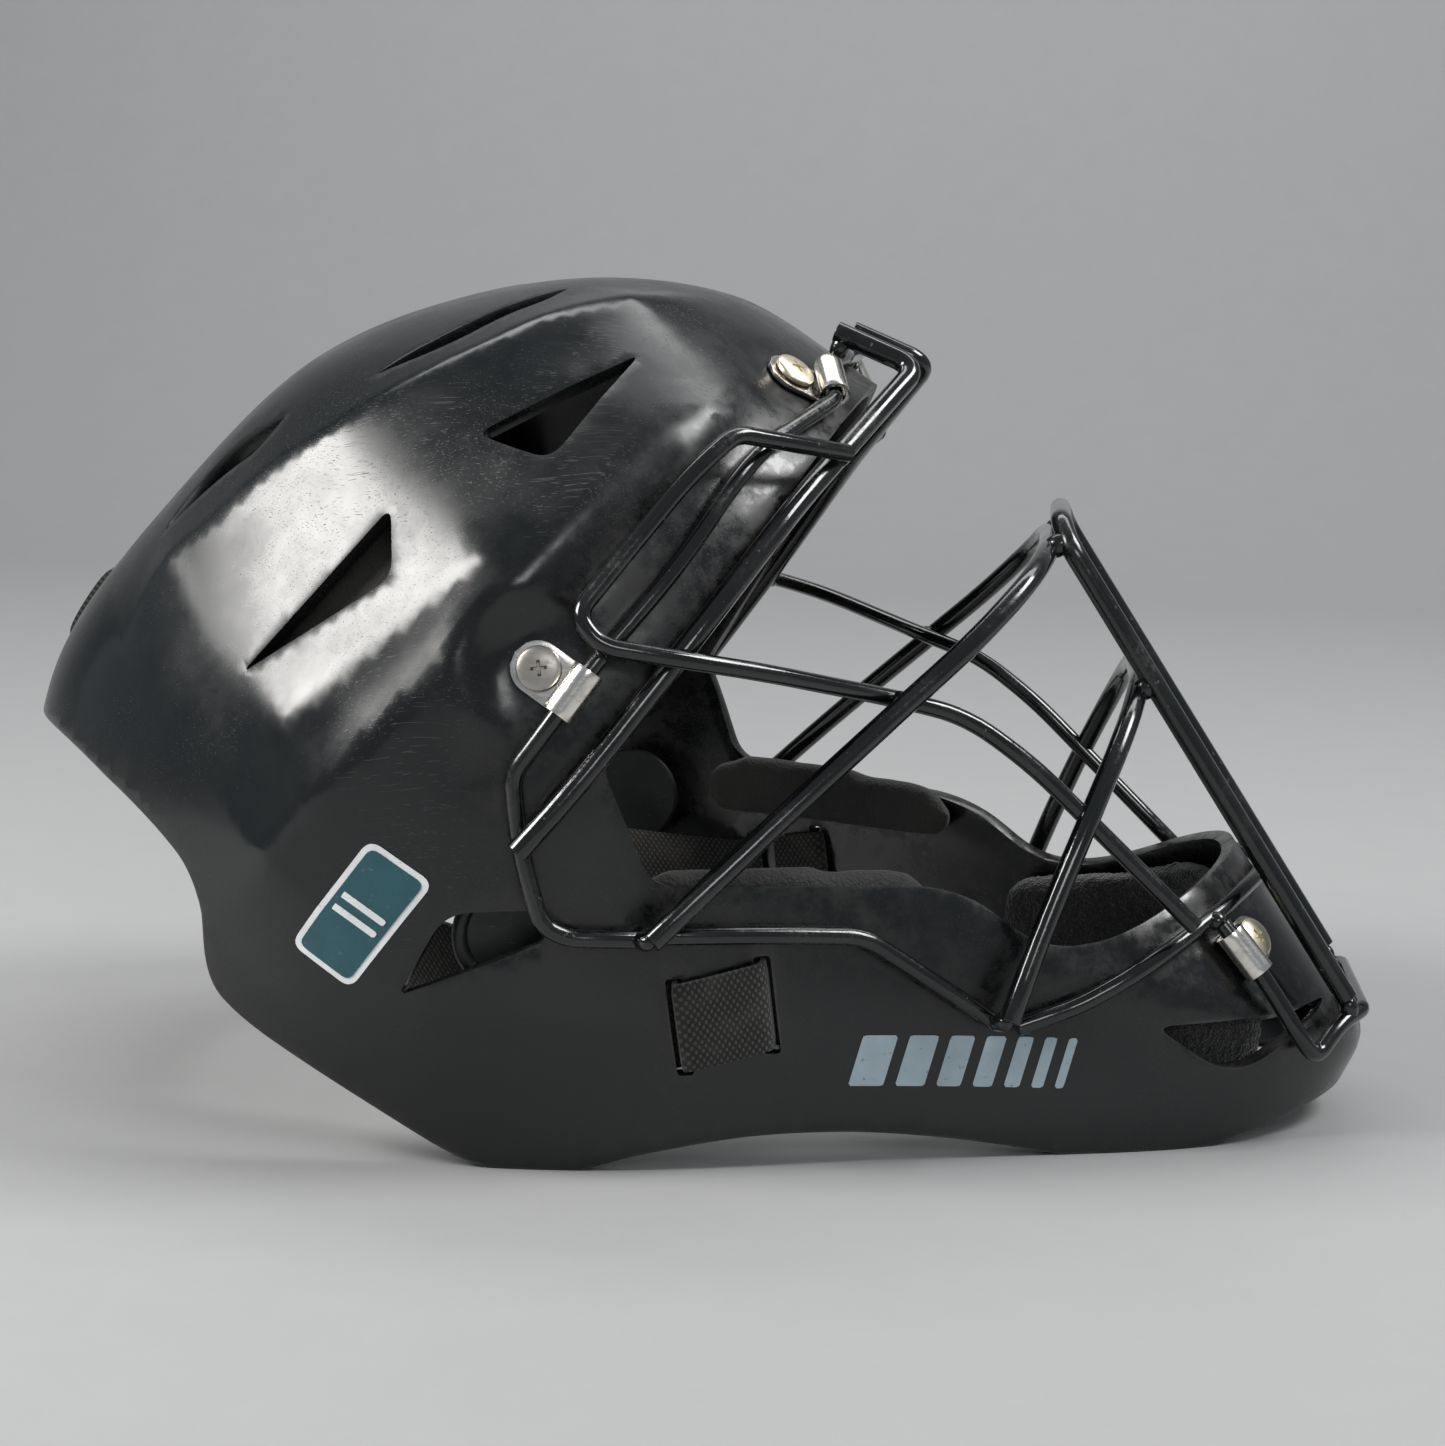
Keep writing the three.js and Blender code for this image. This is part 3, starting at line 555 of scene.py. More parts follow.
def noise(tree, vector, scale, detail, rough=0.55):
    return node(tree, "TexNoise", Vector=vector, Scale=scale, Detail=detail, Roughness=rough).outputs["Fac"]


def cells(tree, vector, scale):
    return node(tree, "TexVoronoi", Vector=vector, Scale=scale).outputs["Distance"]


def stretched(tree, vector, scale, turn):
    return node(tree, "Mapping", Vector=vector, Scale=scale,
                Rotation=tuple(math.radians(a) for a in turn)).outputs["Vector"]


def span(tree, value, low, high, to_low=0.0, to_high=1.0):
    """Maps low..high to to_low..to_high, clamped."""
    made = node(tree, "MapRange", {"clamp": True}, Value=value)
    for key, number in (("From Min", low), ("From Max", high), ("To Min", to_low), ("To Max", to_high)):
        made.inputs[key].default_value = number
    return made.outputs["Result"]


def mottle(tree, vector, scale, detail, low, high, to_low=0.0, to_high=1.0, rough=0.55):
    """Patches of noise, its low..high brought to to_low..to_high."""
    return span(tree, noise(tree, vector, scale, detail, rough), low, high, to_low, to_high)


def maths(tree, operation, a, b, clamp=True):
    return node(tree, "Math", {"operation": operation, "use_clamp": clamp}, i0=a, i1=b).outputs["Value"]


def times(tree, a, b):
    return maths(tree, "MULTIPLY", a, b)


def plus(tree, a, b):
    return maths(tree, "ADD", a, b)


def vectors(tree, operation, *values):
    made = node(tree, "VectorMath", {"operation": operation}, **{f"i{k}": v for k, v in enumerate(values)})
    return made.outputs["Vector"]


def blended(tree, factor, a, b):
    """Colour a where factor is 0, b where it is 1."""
    made = node(tree, "Mix", {"data_type": "RGBA"}, i0=factor)
    for index, value in ((6, a), (7, b)):
        if isinstance(value, bpy.types.NodeSocket):
            tree.links.new(value, made.inputs[index])
        else:
            made.inputs[index].default_value = (*value, 1)
    return made.outputs[2]


def painted(tree, shader, colour, dull):
    """Gives the finish its colour and its roughness, a socket or a number."""
    tree.links.new(colour, shader.inputs["Base Color"])
    if isinstance(dull, bpy.types.NodeSocket):
        tree.links.new(dull, shader.inputs["Roughness"])
    else:
        shader.inputs["Roughness"].default_value = dull


def dented(tree, shader, height, strength, distance):
    bump = node(tree, "Bump", Strength=strength, Distance=distance, Height=height)
    tree.links.new(bump.outputs["Normal"], shader.inputs["Normal"])


def scratches(tree, vector, turn, length, width, threshold):
    """Fine straight lines along the turned X axis, 1 on a line."""
    stretch = stretched(tree, vector, (1 / length, 1 / width, 1 / width), turn)
    return span(tree, noise(tree, stretch, 1.0, 1.0), threshold, threshold + 0.035)


def attribute(tree, name):
    return node(tree, "Attribute", {"attribute_name": name}).outputs["Fac"]


def wandering(tree, vector, scale, amount):
    """The same coordinates, gently bent, so that straight marks curve."""
    bend = node(tree, "TexNoise", Vector=vector, Scale=scale, Detail=1.0)
    shift = vectors(tree, "SUBTRACT", bend.outputs["Color"], (0.5, 0.5, 0.5))
    return vectors(tree, "MULTIPLY_ADD", shift, (amount, amount, amount), vector)


def shell_finish():
    """Glossy black moulding: fine hairlines, speckled dust, vent edges lightened partly as wear and partly as
    painted highlight, grime by the wires.
    """
    material, tree, shader, place = new_finish("gloss_black_shell")
    at = place.outputs["Object"]
    bent = wandering(tree, at, 28.0, 0.012)
    hair_width = 0.00032
    hairs = scratches(tree, bent, (20, 35, 40), 0.050, hair_width, 0.70)
    for turn, length, threshold in (((80, 10, 120), 0.040, 0.70), ((10, 70, 75), 0.075, 0.71),
                                    ((50, 120, 10), 0.032, 0.71), ((0, 55, 0), 0.110, 0.72)):
        hairs = maths(tree, "MAXIMUM", hairs, scratches(tree, bent, turn, length, hair_width, threshold))
    patches = mottle(tree, at, 24.0, 3.0, 0.40, 0.64, 0.12, 1.0)
    height = node(tree, "SeparateXYZ", Vector=at).outputs["Z"]
    rubbed = span(tree, height, 0.04, 0.12, 0.25, 1.0)
    hairs = times(tree, times(tree, hairs, patches), rubbed)
    specks = mottle(tree, at, 2600.0, 1.0, 0.70, 0.76)
    specks = times(tree, specks, mottle(tree, at, 45.0, 2.0, 0.42, 0.66))
    grime = times(tree, attribute(tree, "grime"),
                  mottle(tree, at, 190.0, 6.0, 0.40, 0.72, rough=0.7))
    # edge: a thin light line along the cut vent and rim edges, partly wear and partly a painted highlight
    edge = times(tree, span(tree, attribute(tree, "rim"), 0.80, 0.98),
                 mottle(tree, at, 120.0, 3.0, 0.35, 0.6))
    colour = blended(tree, mottle(tree, at, 9.0, 2.0, 0.3, 0.7),
                     (0.0022, 0.0030, 0.0035), (0.0040, 0.0052, 0.0058))
    colour = blended(tree, times(tree, hairs, 0.32), colour, (0.16, 0.165, 0.165))
    colour = blended(tree, times(tree, specks, 0.30), colour, (0.11, 0.105, 0.095))
    colour = blended(tree, times(tree, grime, 0.45), colour, (0.046, 0.038, 0.028))
    colour = blended(tree, times(tree, edge, 0.35), colour, (0.10, 0.098, 0.092))
    haze = mottle(tree, at, 26.0, 5.0, 0.34, 0.72, rough=0.65)
    haze = span(tree, times(tree, haze, rubbed), 0.0, 1.0, 0.15, 0.36)
    dull = plus(tree, haze, times(tree, hairs, 0.30))
    dull = plus(tree, dull, times(tree, grime, 0.45))
    painted(tree, shader, colour, plus(tree, dull, times(tree, specks, 0.25)))
    shader.inputs["IOR"].default_value = 1.54
    relief = maths(tree, "SUBTRACT", noise(tree, at, 90.0, 2.0), times(tree, hairs, 0.22))
    dented(tree, shader, relief, 0.06, 0.0003)
    return material


def wire_finish():
    """Thick glossy dip coat with dust in patches."""
    material, tree, shader, place = new_finish("black_dip_coat")
    at = place.outputs["Object"]
    film = times(tree, mottle(tree, at, 60.0, 4.0, 0.48, 0.72),
                 mottle(tree, at, 900.0, 4.0, 0.35, 0.7, rough=0.7))
    chips = mottle(tree, at, 700.0, 2.0, 0.70, 0.74)
    colour = blended(tree, times(tree, film, 0.45), (0.0025, 0.003, 0.0034), (0.06, 0.057, 0.05))
    colour = blended(tree, times(tree, chips, 0.5), colour, (0.16, 0.155, 0.14))
    dull = mottle(tree, at, 90.0, 3.0, 0.3, 0.75, 0.08, 0.2)
    painted(tree, shader, colour, plus(tree, dull, times(tree, film, 0.4)))
    shader.inputs["Coat Weight"].default_value = 0.4
    shader.inputs["Coat Roughness"].default_value = 0.08
    dented(tree, shader, noise(tree, at, 240.0, 3.0), 0.25, 0.0004)
    return material


def metal_finish(name, bright, stain, rough):
    """Plated steel, brushed along its length, with tarnish."""
    material, tree, shader, place = new_finish(name)
    at = place.outputs["Object"]
    brushed = noise(tree, stretched(tree, at, (120, 2600, 2600), (0, 50, 20)), 1.0, 2.0)
    tarnish = mottle(tree, at, 230.0, 4.0, 0.50, 0.78, rough=0.6)
    colour = blended(tree, tarnish, bright, stain)
    shader.inputs["Metallic"].default_value = 1.0
    dull = plus(tree, span(tree, brushed, 0.3, 0.7, rough, rough + 0.10),
                 times(tree, tarnish, 0.15))
    painted(tree, shader, colour, dull)
    dented(tree, shader, brushed, 0.05, 0.0001)
    return material


def foam_finish(name, dark, light, cell):
    """Closed-cell foam with a dry dusty skin, its pores darkened with painted shade."""
    material, tree, shader, place = new_finish(name)
    at = place.outputs["Object"]
    pores = cells(tree, at, cell)
    dust = mottle(tree, at, 70.0, 5.0, 0.4, 0.7, rough=0.65)
    colour = blended(tree, times(tree, dust, 0.7), dark, light)
    # the pore hollows are painted darker: painted shade
    colour = blended(tree, span(tree, pores, 0.0, 0.35, 0.6, 0.0), colour, tuple(c * 0.3 for c in dark))
    painted(tree, shader, colour, span(tree, dust, 0, 1, 0.72, 0.95))
    shader.inputs["Sheen Weight"].default_value = 0.15
    dented(tree, shader, plus(tree, pores, times(tree, dust, 0.4)), 0.5, 0.0005)
    return material


def terry_finish():
    """Black looped terry cloth, lint in the pile."""
    material, tree, shader, place = new_finish("black_terry")
    at = place.outputs["Object"]
    loops = cells(tree, at, 1500.0)
    lint = mottle(tree, at, 1100.0, 3.0, 0.6, 0.72)
    colour = blended(tree, span(tree, loops, 0.1, 0.7), (0.020, 0.019, 0.018), (0.003, 0.003, 0.003))
    colour = blended(tree, times(tree, lint, 0.30), colour, (0.16, 0.155, 0.145))
    painted(tree, shader, colour, 0.95)
    shader.inputs["Sheen Weight"].default_value = 0.35
    dented(tree, shader, loops, 0.8, 0.0005)
    return material


def webbing_finish():
    """Woven elastic: rows of small pale picks on black, frayed and dusty, on the band's own UV."""
    material, tree, shader, place = new_finish("woven_elastic")
    uv = node(tree, "SeparateXYZ", Vector=place.outputs["UV"])

    def wave(axis, pitch):
        turns = maths(tree, "MULTIPLY", uv.outputs[axis], 2 * math.pi / pitch, False)
        return maths(tree, "SINE", turns, 0, False)

    at = place.outputs["Object"]
    weave = maths(tree, "MULTIPLY", wave("X", WEBBING["warp"]), wave("Y", WEBBING["pick"]), False)
    picks = span(tree, weave, 0.05, 0.75)
    fray = noise(tree, at, 1500.0, 3.0)
    colour = blended(tree, picks, (0.0035, 0.0035, 0.0033), (0.050, 0.047, 0.038))
    dust = times(tree, mottle(tree, at, 120.0, 4.0, 0.45, 0.75), 0.5)
    colour = blended(tree, times(tree, dust, fray), colour, (0.12, 0.105, 0.08))
    painted(tree, shader, colour, 0.85)
    shader.inputs["Sheen Weight"].default_value = 0.2
    dented(tree, shader, plus(tree, picks, times(tree, fray, 0.2)), 0.7, 0.0004)
    return material


def moulded_finish(name, dark, light, rough):
    """Satin moulded plastic with a fine grain."""
    material, tree, shader, place = new_finish(name)
    at = place.outputs["Object"]
    scuffs = times(tree, scratches(tree, at, (30, 60, 15), 0.02, 0.0006, 0.69),
                   mottle(tree, at, 40.0, 2.0, 0.45, 0.6))
    colour = blended(tree, mottle(tree, at, 60.0, 4.0, 0.35, 0.7), dark, light)
    colour = blended(tree, times(tree, scuffs, 0.5), colour, (0.2, 0.2, 0.19))
    painted(tree, shader, colour, mottle(tree, at, 180.0, 3.0, 0.3, 0.7, rough, rough + 0.15))
    dented(tree, shader, noise(tree, at, 2600.0, 2.0), 0.25, 0.0002)
    return material


def print_finish(name, colour, worn):
    """Flat ink or label film with small worn flecks."""
    material, tree, shader, place = new_finish(name)
    at = place.outputs["Object"]
    flecks = mottle(tree, at, 900.0, 3.0, 0.64, 0.70, rough=0.6)
    mottled = blended(tree, mottle(tree, at, 180.0, 3.0, 0.3, 0.7), colour,
                      tuple(c * 0.86 for c in colour))
    mottled = blended(tree, times(tree, flecks, 0.6), mottled, worn)
    painted(tree, shader, mottled, mottle(tree, at, 90.0, 3.0, 0.3, 0.7, 0.22, 0.4))
    return material


FINISH = {
    "shell": shell_finish(),
    "wire": wire_finish(),
    "nickel": metal_finish("nickel_strip", (0.80, 0.77, 0.72), (0.42, 0.38, 0.32), 0.16),
    "cream_screw": metal_finish("cream_screw", (0.78, 0.71, 0.55), (0.48, 0.38, 0.24), 0.30),
    "dark_screw": metal_finish("dull_screw", (0.42, 0.40, 0.37), (0.20, 0.13, 0.09), 0.34),
    "foam": foam_finish("charcoal_foam", (0.016, 0.016, 0.015), (0.050, 0.047, 0.041), 1300.0),
    "side_foam": foam_finish("textured_foam", (0.020, 0.019, 0.016), (0.060, 0.054, 0.043), 1700.0),
    "terry": terry_finish(),
    "webbing": webbing_finish(),
    "plastic": moulded_finish("satin_trim", (0.008, 0.009, 0.009), (0.016, 0.017, 0.017), 0.38),
    "white": print_finish("label_white", (0.78, 0.79, 0.80), (0.35, 0.34, 0.33)),
    "teal": print_finish("label_teal", (0.018, 0.085, 0.105), (0.10, 0.14, 0.15)),
    "ink": print_finish("pale_ink", (0.40, 0.50, 0.56), (0.10, 0.12, 0.13)),
}


# ------------------------------------------------------------------ the shell
FLAT_STRETCH = 1.4     # the flat net is drawn this much larger than the side view


def to_flat(x, z):
    """Side-view points on the shell, laid out so that the net stays even up to the centreline."""
    dx, dz = x - CENTRE[0], z - CENTRE[1]
    angle = np.arctan2(dz, dx)
    reach = reach_at(angle)
    share = np.hypot(dx, dz) / reach
    turned = np.arcsin(np.minimum(share, 1) ** (BULGE / 2)) / (math.pi / 2)
    turned = np.where(share > 1, share, turned)
    out = turned * reach * FLAT_STRETCH
    return np.stack([out * np.cos(angle), out * np.sin(angle)], axis=-1)


def from_flat(flat):
    angle = np.arctan2(flat[:, 1], flat[:, 0])
    reach = reach_at(angle)
    turned = np.hypot(flat[:, 0], flat[:, 1]) / (reach * FLAT_STRETCH)
    phi = np.minimum(turned, 1) * math.pi / 2
    out = reach * np.sin(phi) ** (2 / BULGE)
    x = CENTRE[0] + out * np.cos(angle)
    z = CENTRE[1] + out * np.sin(angle)
    y = -full_half_width(x, z) * np.maximum(np.cos(phi), 0) ** (2 / CROWN)
    return np.stack([x, y, z], axis=-1), turned


def top_view_height(x, y):
    """Height of the shell's top over top-view points."""
    low, high = np.full(len(x), 80.0), np.full(len(x), 199.0)
    for _ in range(40):
        middle = (low + high) / 2
        inside = (share_at(x, middle) < 1) & (-side_point(x, middle)[:, 1] > np.abs(y))
        low = np.where(inside, middle, low)
        high = np.where(inside, high, middle)
    return low


def slot_outline(at):
    up, side = SLOT["length"] / 2, SLOT["gap"] / 2
    lean = SLOT["lean"] * up
    x, z = at
    return rounded([(x - side - lean, z + up, 0.8), (x + side - lean, z + up, 0.8),
                    (x + side + lean, z - up, 0.8), (x - side + lean, z - up, 0.8)], 0.4)


def evenly(flat_line, spacing, closed=True):
    """A line on the flat net whose points are spacing apart on the shell itself."""
    line = np.vstack([flat_line, flat_line[:1]]) if closed else flat_line
    solid, _ = from_flat(line)
    lengths = np.concatenate([[0], np.cumsum(np.linalg.norm(np.diff(solid, axis=0), axis=1)
                                             + 0.15 * np.linalg.norm(np.diff(line, axis=0), axis=1))])
    at = np.linspace(0, lengths[-1], max(8, int(lengths[-1] / spacing)))
    return np.stack([np.interp(at, lengths, line[:, k]) for k in range(2)], axis=1)


def make_shell():
    body, face = rounded(BODY_OUTLINE, 0.3), rounded(FACE_OPENING, 0.3)
    side_cuts = [rounded(v, 0.3) for v in SIDE_VENTS] + [slot_outline(REAR_SLOT), slot_outline(FRONT_SLOT)]
    top_cuts = [rounded(v, 0.3) for v in TOP_VENTS]
    lines = [evenly(to_flat(OUTER_EDGE[:, 0], OUTER_EDGE[:, 1]), 2.4)]
    for outline in (body, face):
        keep = share_at(outline[:, 0], outline[:, 1]) < 1.05
        start = int(np.argmin(keep))
        outline, keep = np.roll(outline, -start, axis=0), np.roll(keep, -start)
        lines.append(evenly(to_flat(outline[keep, 0], outline[keep, 1]), 1.5, closed=False))
    for outline in side_cuts:
        lines.append(evenly(to_flat(outline[:, 0], outline[:, 1]), 0.9))
    for outline in top_cuts:
        height = top_view_height(outline[:, 0], outline[:, 1])
        lines.append(evenly(to_flat(outline[:, 0], height), 0.9))
    for line, _, _ in CREASE_LINES:
        lines.append(evenly(to_flat(line[:, 0], line[:, 2]), 1.6, closed=False))

    def inside(flat):
        solid, turned = from_flat(flat)
        side_view = solid[:, [0, 2]]
        keep = (turned <= 1.0005) & within(side_view, body) & ~within(side_view, face)
        for outline in side_cuts:
            keep &= ~within(side_view, outline)
        for outline in top_cuts:
            keep &= ~(within(solid[:, :2], outline) & (solid[:, 2] > 105))
        return keep

    flat, faces = net(lines, 2.7, inside)
    solid, _ = from_flat(flat)
    solid[np.abs(solid[:, 1]) < 0.25, 1] = 0
    normal = outward(solid)
    normal[solid[:, 1] == 0, 1] = 0
    shell = solid + normal * lift_at(solid)[:, None]
    piece = piece_from("helmet_shell", shell, faces)
    rims = np.vstack([from_flat(line)[0] for line in lines[1:3 + len(side_cuts) + len(top_cuts)]])
    rim_gap, _ = nearest(shell, rims)
    wires = np.vstack([resampled([tuple(p) for p in path], 3.0) for path in WIRE_PATHS.values()])
    wire_gap, _ = nearest(shell, wires)
    grime = np.clip(np.exp(-(wire_gap - 2) / 7) + 0.35 * np.exp(-rim_gap / 4), 0, 1)
    # rim: nearness to the cut edges, where the finish lays a light line, partly wear and partly painted
    # highlight; grime: dirt by the wires and rims
    for name, values in (("rim", np.exp(-rim_gap / 1.2)), ("grime", grime)):
        layer = piece.data.attributes.new(name, "FLOAT", "POINT")
        layer.data.foreach_set("value", values.astype(np.float32))
    modify(piece, "MIRROR", use_axis=(False, True, False), use_mirror_merge=True, merge_threshold=0.00005)
    outwards_again(piece)
    modify(piece, "SOLIDIFY", thickness=WALL * MM, offset=-1, use_even_offset=False)
    soften(piece, 0.55, 55)
    smooth(piece)
    return finished(piece, HELMET, FINISH["shell"], "shell_plastic", "shell")


make_shell()


# ------------------------------------------------------------------ the wire cage
def make_wire(name, path, radius):
    """A round coated wire with cut ends."""
    bpy.ops.object.select_all(action="DESELECT")
    bpy.ops.curve.primitive_nurbs_path_add()
    wire = bpy.context.object
    wire.name = name
    curve = wire.data
    curve.splines.clear()
    spline = curve.splines.new("POLY")
    spline.points.add(len(path) - 1)
    for point, at in zip(spline.points, path):
        point.co = (*(Vector(at) * MM), 1)
    curve.dimensions = "3D"
    curve.bevel_depth = radius * MM
    curve.bevel_resolution = 6
    curve.use_fill_caps = True
    bpy.ops.object.convert(target="MESH")
    wire = bpy.context.object
    outwards_again(wire)
    soften(wire, 0.55, 60, segments=3)
    smooth(wire)
    return wire


def meetings():
    """Where two wires touch closely enough to be welded: point, direction between them, radii."""
    dense = {n: resampled([tuple(p) for p in path], 1.0) for n, path in WIRE_PATHS.items()}
    found = []
    for a, b in itertools.combinations(dense, 2):
        radii = WIRES[a][1] + WIRES[b][1]
        gap, which = nearest(dense[a], dense[b])
        close = np.flatnonzero(gap < radii + 1.6)
        for run in np.split(close, np.flatnonzero(np.diff(close) > 3) + 1):
            if len(run) == 0:
                continue
            best = run[np.argmin(gap[run])]
            found.append((dense[a][best], dense[b][which[best]], WIRES[a][1], WIRES[b][1]))
    return found


def make_weld_beads():
    """Small fillets of coating where wires are welded together."""
    beads = []
    for a, b, ra, rb in meetings():
        middle = Vector((a * rb + b * ra) / (ra + rb))
        between = Vector(b - a)
        bpy.ops.object.select_all(action="DESELECT")
        bpy.ops.mesh.primitive_uv_sphere_add(segments=20, ring_count=12, radius=1, location=middle * MM)
        bead = bpy.context.object
        stretch = (between.length * 0.5 + min(ra, rb) * 0.42) * MM
        bead.scale = (min(ra, rb) * 1.12 * MM, min(ra, rb) * 1.12 * MM, stretch)
        bead.rotation_mode = "QUATERNION"
        bead.rotation_quaternion = between.to_track_quat("Z", "Y")
        settle(bead)
        beads.append(bead)
    choose(beads[0])
    for bead in beads:
        bead.select_set(True)
    bpy.ops.object.join()
    joined = bpy.context.object
    joined.name = "weld_beads"
    smooth(joined)
    return finished(joined, HELMET, FINISH["wire"], "coated_wire")


for wire_name, (_, wire_radius, _) in WIRES.items():
    wire = make_wire("coated_" + wire_name, WIRE_PATHS[wire_name], wire_radius)
    finished(wire, HELMET, FINISH["wire"], "coated_wire", wire_name)
make_weld_beads()


# ------------------------------------------------------------------ clips and screws
def make_clip():
    """A strip of plated steel: a round-ended tab, wrapped round the wire. In the seat's own millimetres."""
    half, tail, loop = CLIP["width"] / 2, CLIP["tail"], CLIP["loop"]
    middle = loop - CLIP["thickness"] / 2
    centre = CLIP["reach"]
    line = [(x, CLIP["thickness"] / 2) for x in np.linspace(-tail, -tail + half, 9)]
    line += [(x, CLIP["thickness"] / 2) for x in np.linspace(-tail + half, centre, 7)[1:]]
    for angle in np.radians(np.linspace(-90, 196, 27))[1:]:
        line.append((centre + middle * math.cos(angle), loop + middle * math.sin(angle)))
    points, columns = [], 9
    for i, (x, z) in enumerate(line):
        into = x + tail
        reach = math.sqrt(max(half ** 2 - (half - into) ** 2, 0.01)) if i < 9 else half
        points += [(x, reach * (2 * k / (columns - 1) - 1), z) for k in range(columns)]
    clip = piece_from("clip_master", points, strip_faces(len(line), columns))
    modify(clip, "SOLIDIFY", thickness=CLIP["thickness"] * MM, offset=0, use_even_offset=True)
    outwards_again(clip)
    soften(clip, 0.22, 50)
    smooth(clip, 40)
    return clip


def make_screw():
    """A pan head with a cross recess, and its shank. In the seat's own millimetres."""
    under = CLIP["thickness"] + GAP
    radius, height = SCREW_HEAD["radius"], SCREW_HEAD["height"]
    profile = [(0, under - 9.9), (1.6, under - 9.9), (2.0, under - 9.4), (2.0, under),
               (radius - 0.35, under), (radius, under + 0.3), (radius, under + height * 0.45)]
    profile += [(radius * math.cos(a), under + height * (0.45 + 0.55 * math.sin(a)))
                for a in np.linspace(0.18, math.pi / 2, 9)]
    steps = 40
    points = []
    for r, z in profile:
        points += [(max(r, 0.001) * math.cos(2 * math.pi * k / steps),
                    max(r, 0.001) * math.sin(2 * math.pi * k / steps), z) for k in range(steps)]
    screw = piece_from("screw_master", points, strip_faces(len(profile), steps, closed=True))
    outwards_again(screw)
    top = under + height
    for turn in (0, 90):
        bpy.ops.object.select_all(action="DESELECT")
        bpy.ops.mesh.primitive_cube_add(size=1, location=(0, 0, top * MM))
        blade = bpy.context.object
        blade.scale = (5.0 * MM, 0.95 * MM, 1.9 * MM)
        settle(blade)
        for vertex in blade.data.vertices:
            if vertex.co.z < top * MM:
                vertex.co.x *= 0.45
                vertex.co.y *= 0.6
        blade.data.transform(Matrix.Rotation(math.radians(turn), 4, "Z"))
        modify(screw, "BOOLEAN", operation="DIFFERENCE", object=blade, solver="EXACT")
        bpy.data.objects.remove(blade)
    smooth(screw, 35)
    return screw


clip_master, screw_master = make_clip(), make_screw()
SCREW_FINISH = {"forehead": "cream_screw", "temple": "dark_screw", "chin": "cream_screw"}
SCREW_TURN = {"forehead": 20, "temple": 42, "chin": 5}
for place, seat in SEATS.items():
    to_frame = seat_matrix(seat) @ Matrix.Diagonal((1 / MM, 1 / MM, 1 / MM, 1))
    turn = Matrix.Rotation(math.radians(SCREW_TURN[place]), 4, "Z")
    for side, flip in (("right", Matrix()), ("left", MIRROR)):
        clip = moved_copy(clip_master, f"wire_clip_{place}_{side}", flip @ to_frame)
        finished(clip, HELMET, FINISH["nickel"], "nickel_steel", f"{place}_clip_{side}")
        screw = moved_copy(screw_master, f"pan_screw_{place}_{side}", flip @ to_frame @ turn)
        finished(screw, HELMET, FINISH[SCREW_FINISH[place]], "screw_nickel", f"{place}_screw_{side}")
        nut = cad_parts[f"{place}_nut_{side}"]
        nut.data.materials.clear()
        nut.data.materials.append(FINISH["nickel"])
for master in (clip_master, screw_master):
    bpy.data.objects.remove(master)


# ------------------------------------------------------------------ foam pads
def soft_copy(cad_node, name, voxel):
    """The CAD node's shape as one even closed mesh."""
    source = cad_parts[cad_node]
    pad = source.copy()
    pad.data = source.data.copy()
    pad.name = name
    for key in list(pad.keys()):
        del pad[key]
    pad.parent = None
    bpy.context.scene.collection.objects.link(pad)
    outwards_again(pad)
    modify(pad, "REMESH", mode="VOXEL", voxel_size=voxel * MM)
    modify(pad, "SMOOTH", iterations=4, factor=0.5)
    return pad


def inflate(pad, pressure, cap):
    """Swells the pad as cloth under pressure; no point moves more than cap mm."""
    before = np.array([v.co[:] for v in pad.data.vertices])
    choose(pad)
    cloth = pad.modifiers.new("Cloth", "CLOTH")
    cloth.settings.quality = 5
    cloth.settings.mass = 0.15
    cloth.settings.use_pressure = True
    cloth.settings.uniform_pressure_force = pressure
    cloth.settings.effector_weights.gravity = 0
    cloth.settings.tension_stiffness = 20
    cloth.settings.compression_stiffness = 20
    cloth.settings.bending_stiffness = 2.0
    scene = bpy.context.scene
    for step in range(1, 21):
        scene.frame_set(step)
    shape = pad.evaluated_get(bpy.context.evaluated_depsgraph_get())
    after = np.array([v.co[:] for v in shape.data.vertices])
    pad.modifiers.clear()
    scene.frame_set(1)
    move = after - before
    length = np.linalg.norm(move, axis=1, keepdims=True)
    move *= np.minimum(1, cap * MM / np.maximum(length, 1e-9))
    pad.data.vertices.foreach_set("co", (before + move).astype(np.float32).ravel())
    pad.data.update()


def keep_inside(pad, gap):
    """Pulls a pad's points back inside the shell's inner wall."""
    points = np.array([v.co[:] for v in pad.data.vertices]) / MM
    for _ in range(3):
        over = np.maximum(level_at(points, WALL + gap), 1) ** (1 / 2.25)
        points[:, 0] = CENTRE[0] + (points[:, 0] - CENTRE[0]) / over
        points[:, 1] /= over
        points[:, 2] = CENTRE[1] + (points[:, 2] - CENTRE[1]) / over
    pad.data.vertices.foreach_set("co", (points * MM).astype(np.float32).ravel())
    pad.data.update()


def make_pad(cad_node, voxel=4.0, cap=2.5, levels=1):
    pad = soft_copy(cad_node, f"soft_{cad_node}", voxel)
    inflate(pad, 4.0, cap)
    modify(pad, "SMOOTH", iterations=3, factor=0.5)
    keep_inside(pad, 0.7)
    modify(pad, "SUBSURF", levels=levels, render_levels=levels)
    smooth(pad)
    return pad


def finish_pad(pad, finish, slot, body, node_name):
    finished(pad, body, FINISH[finish], slot, node_name)


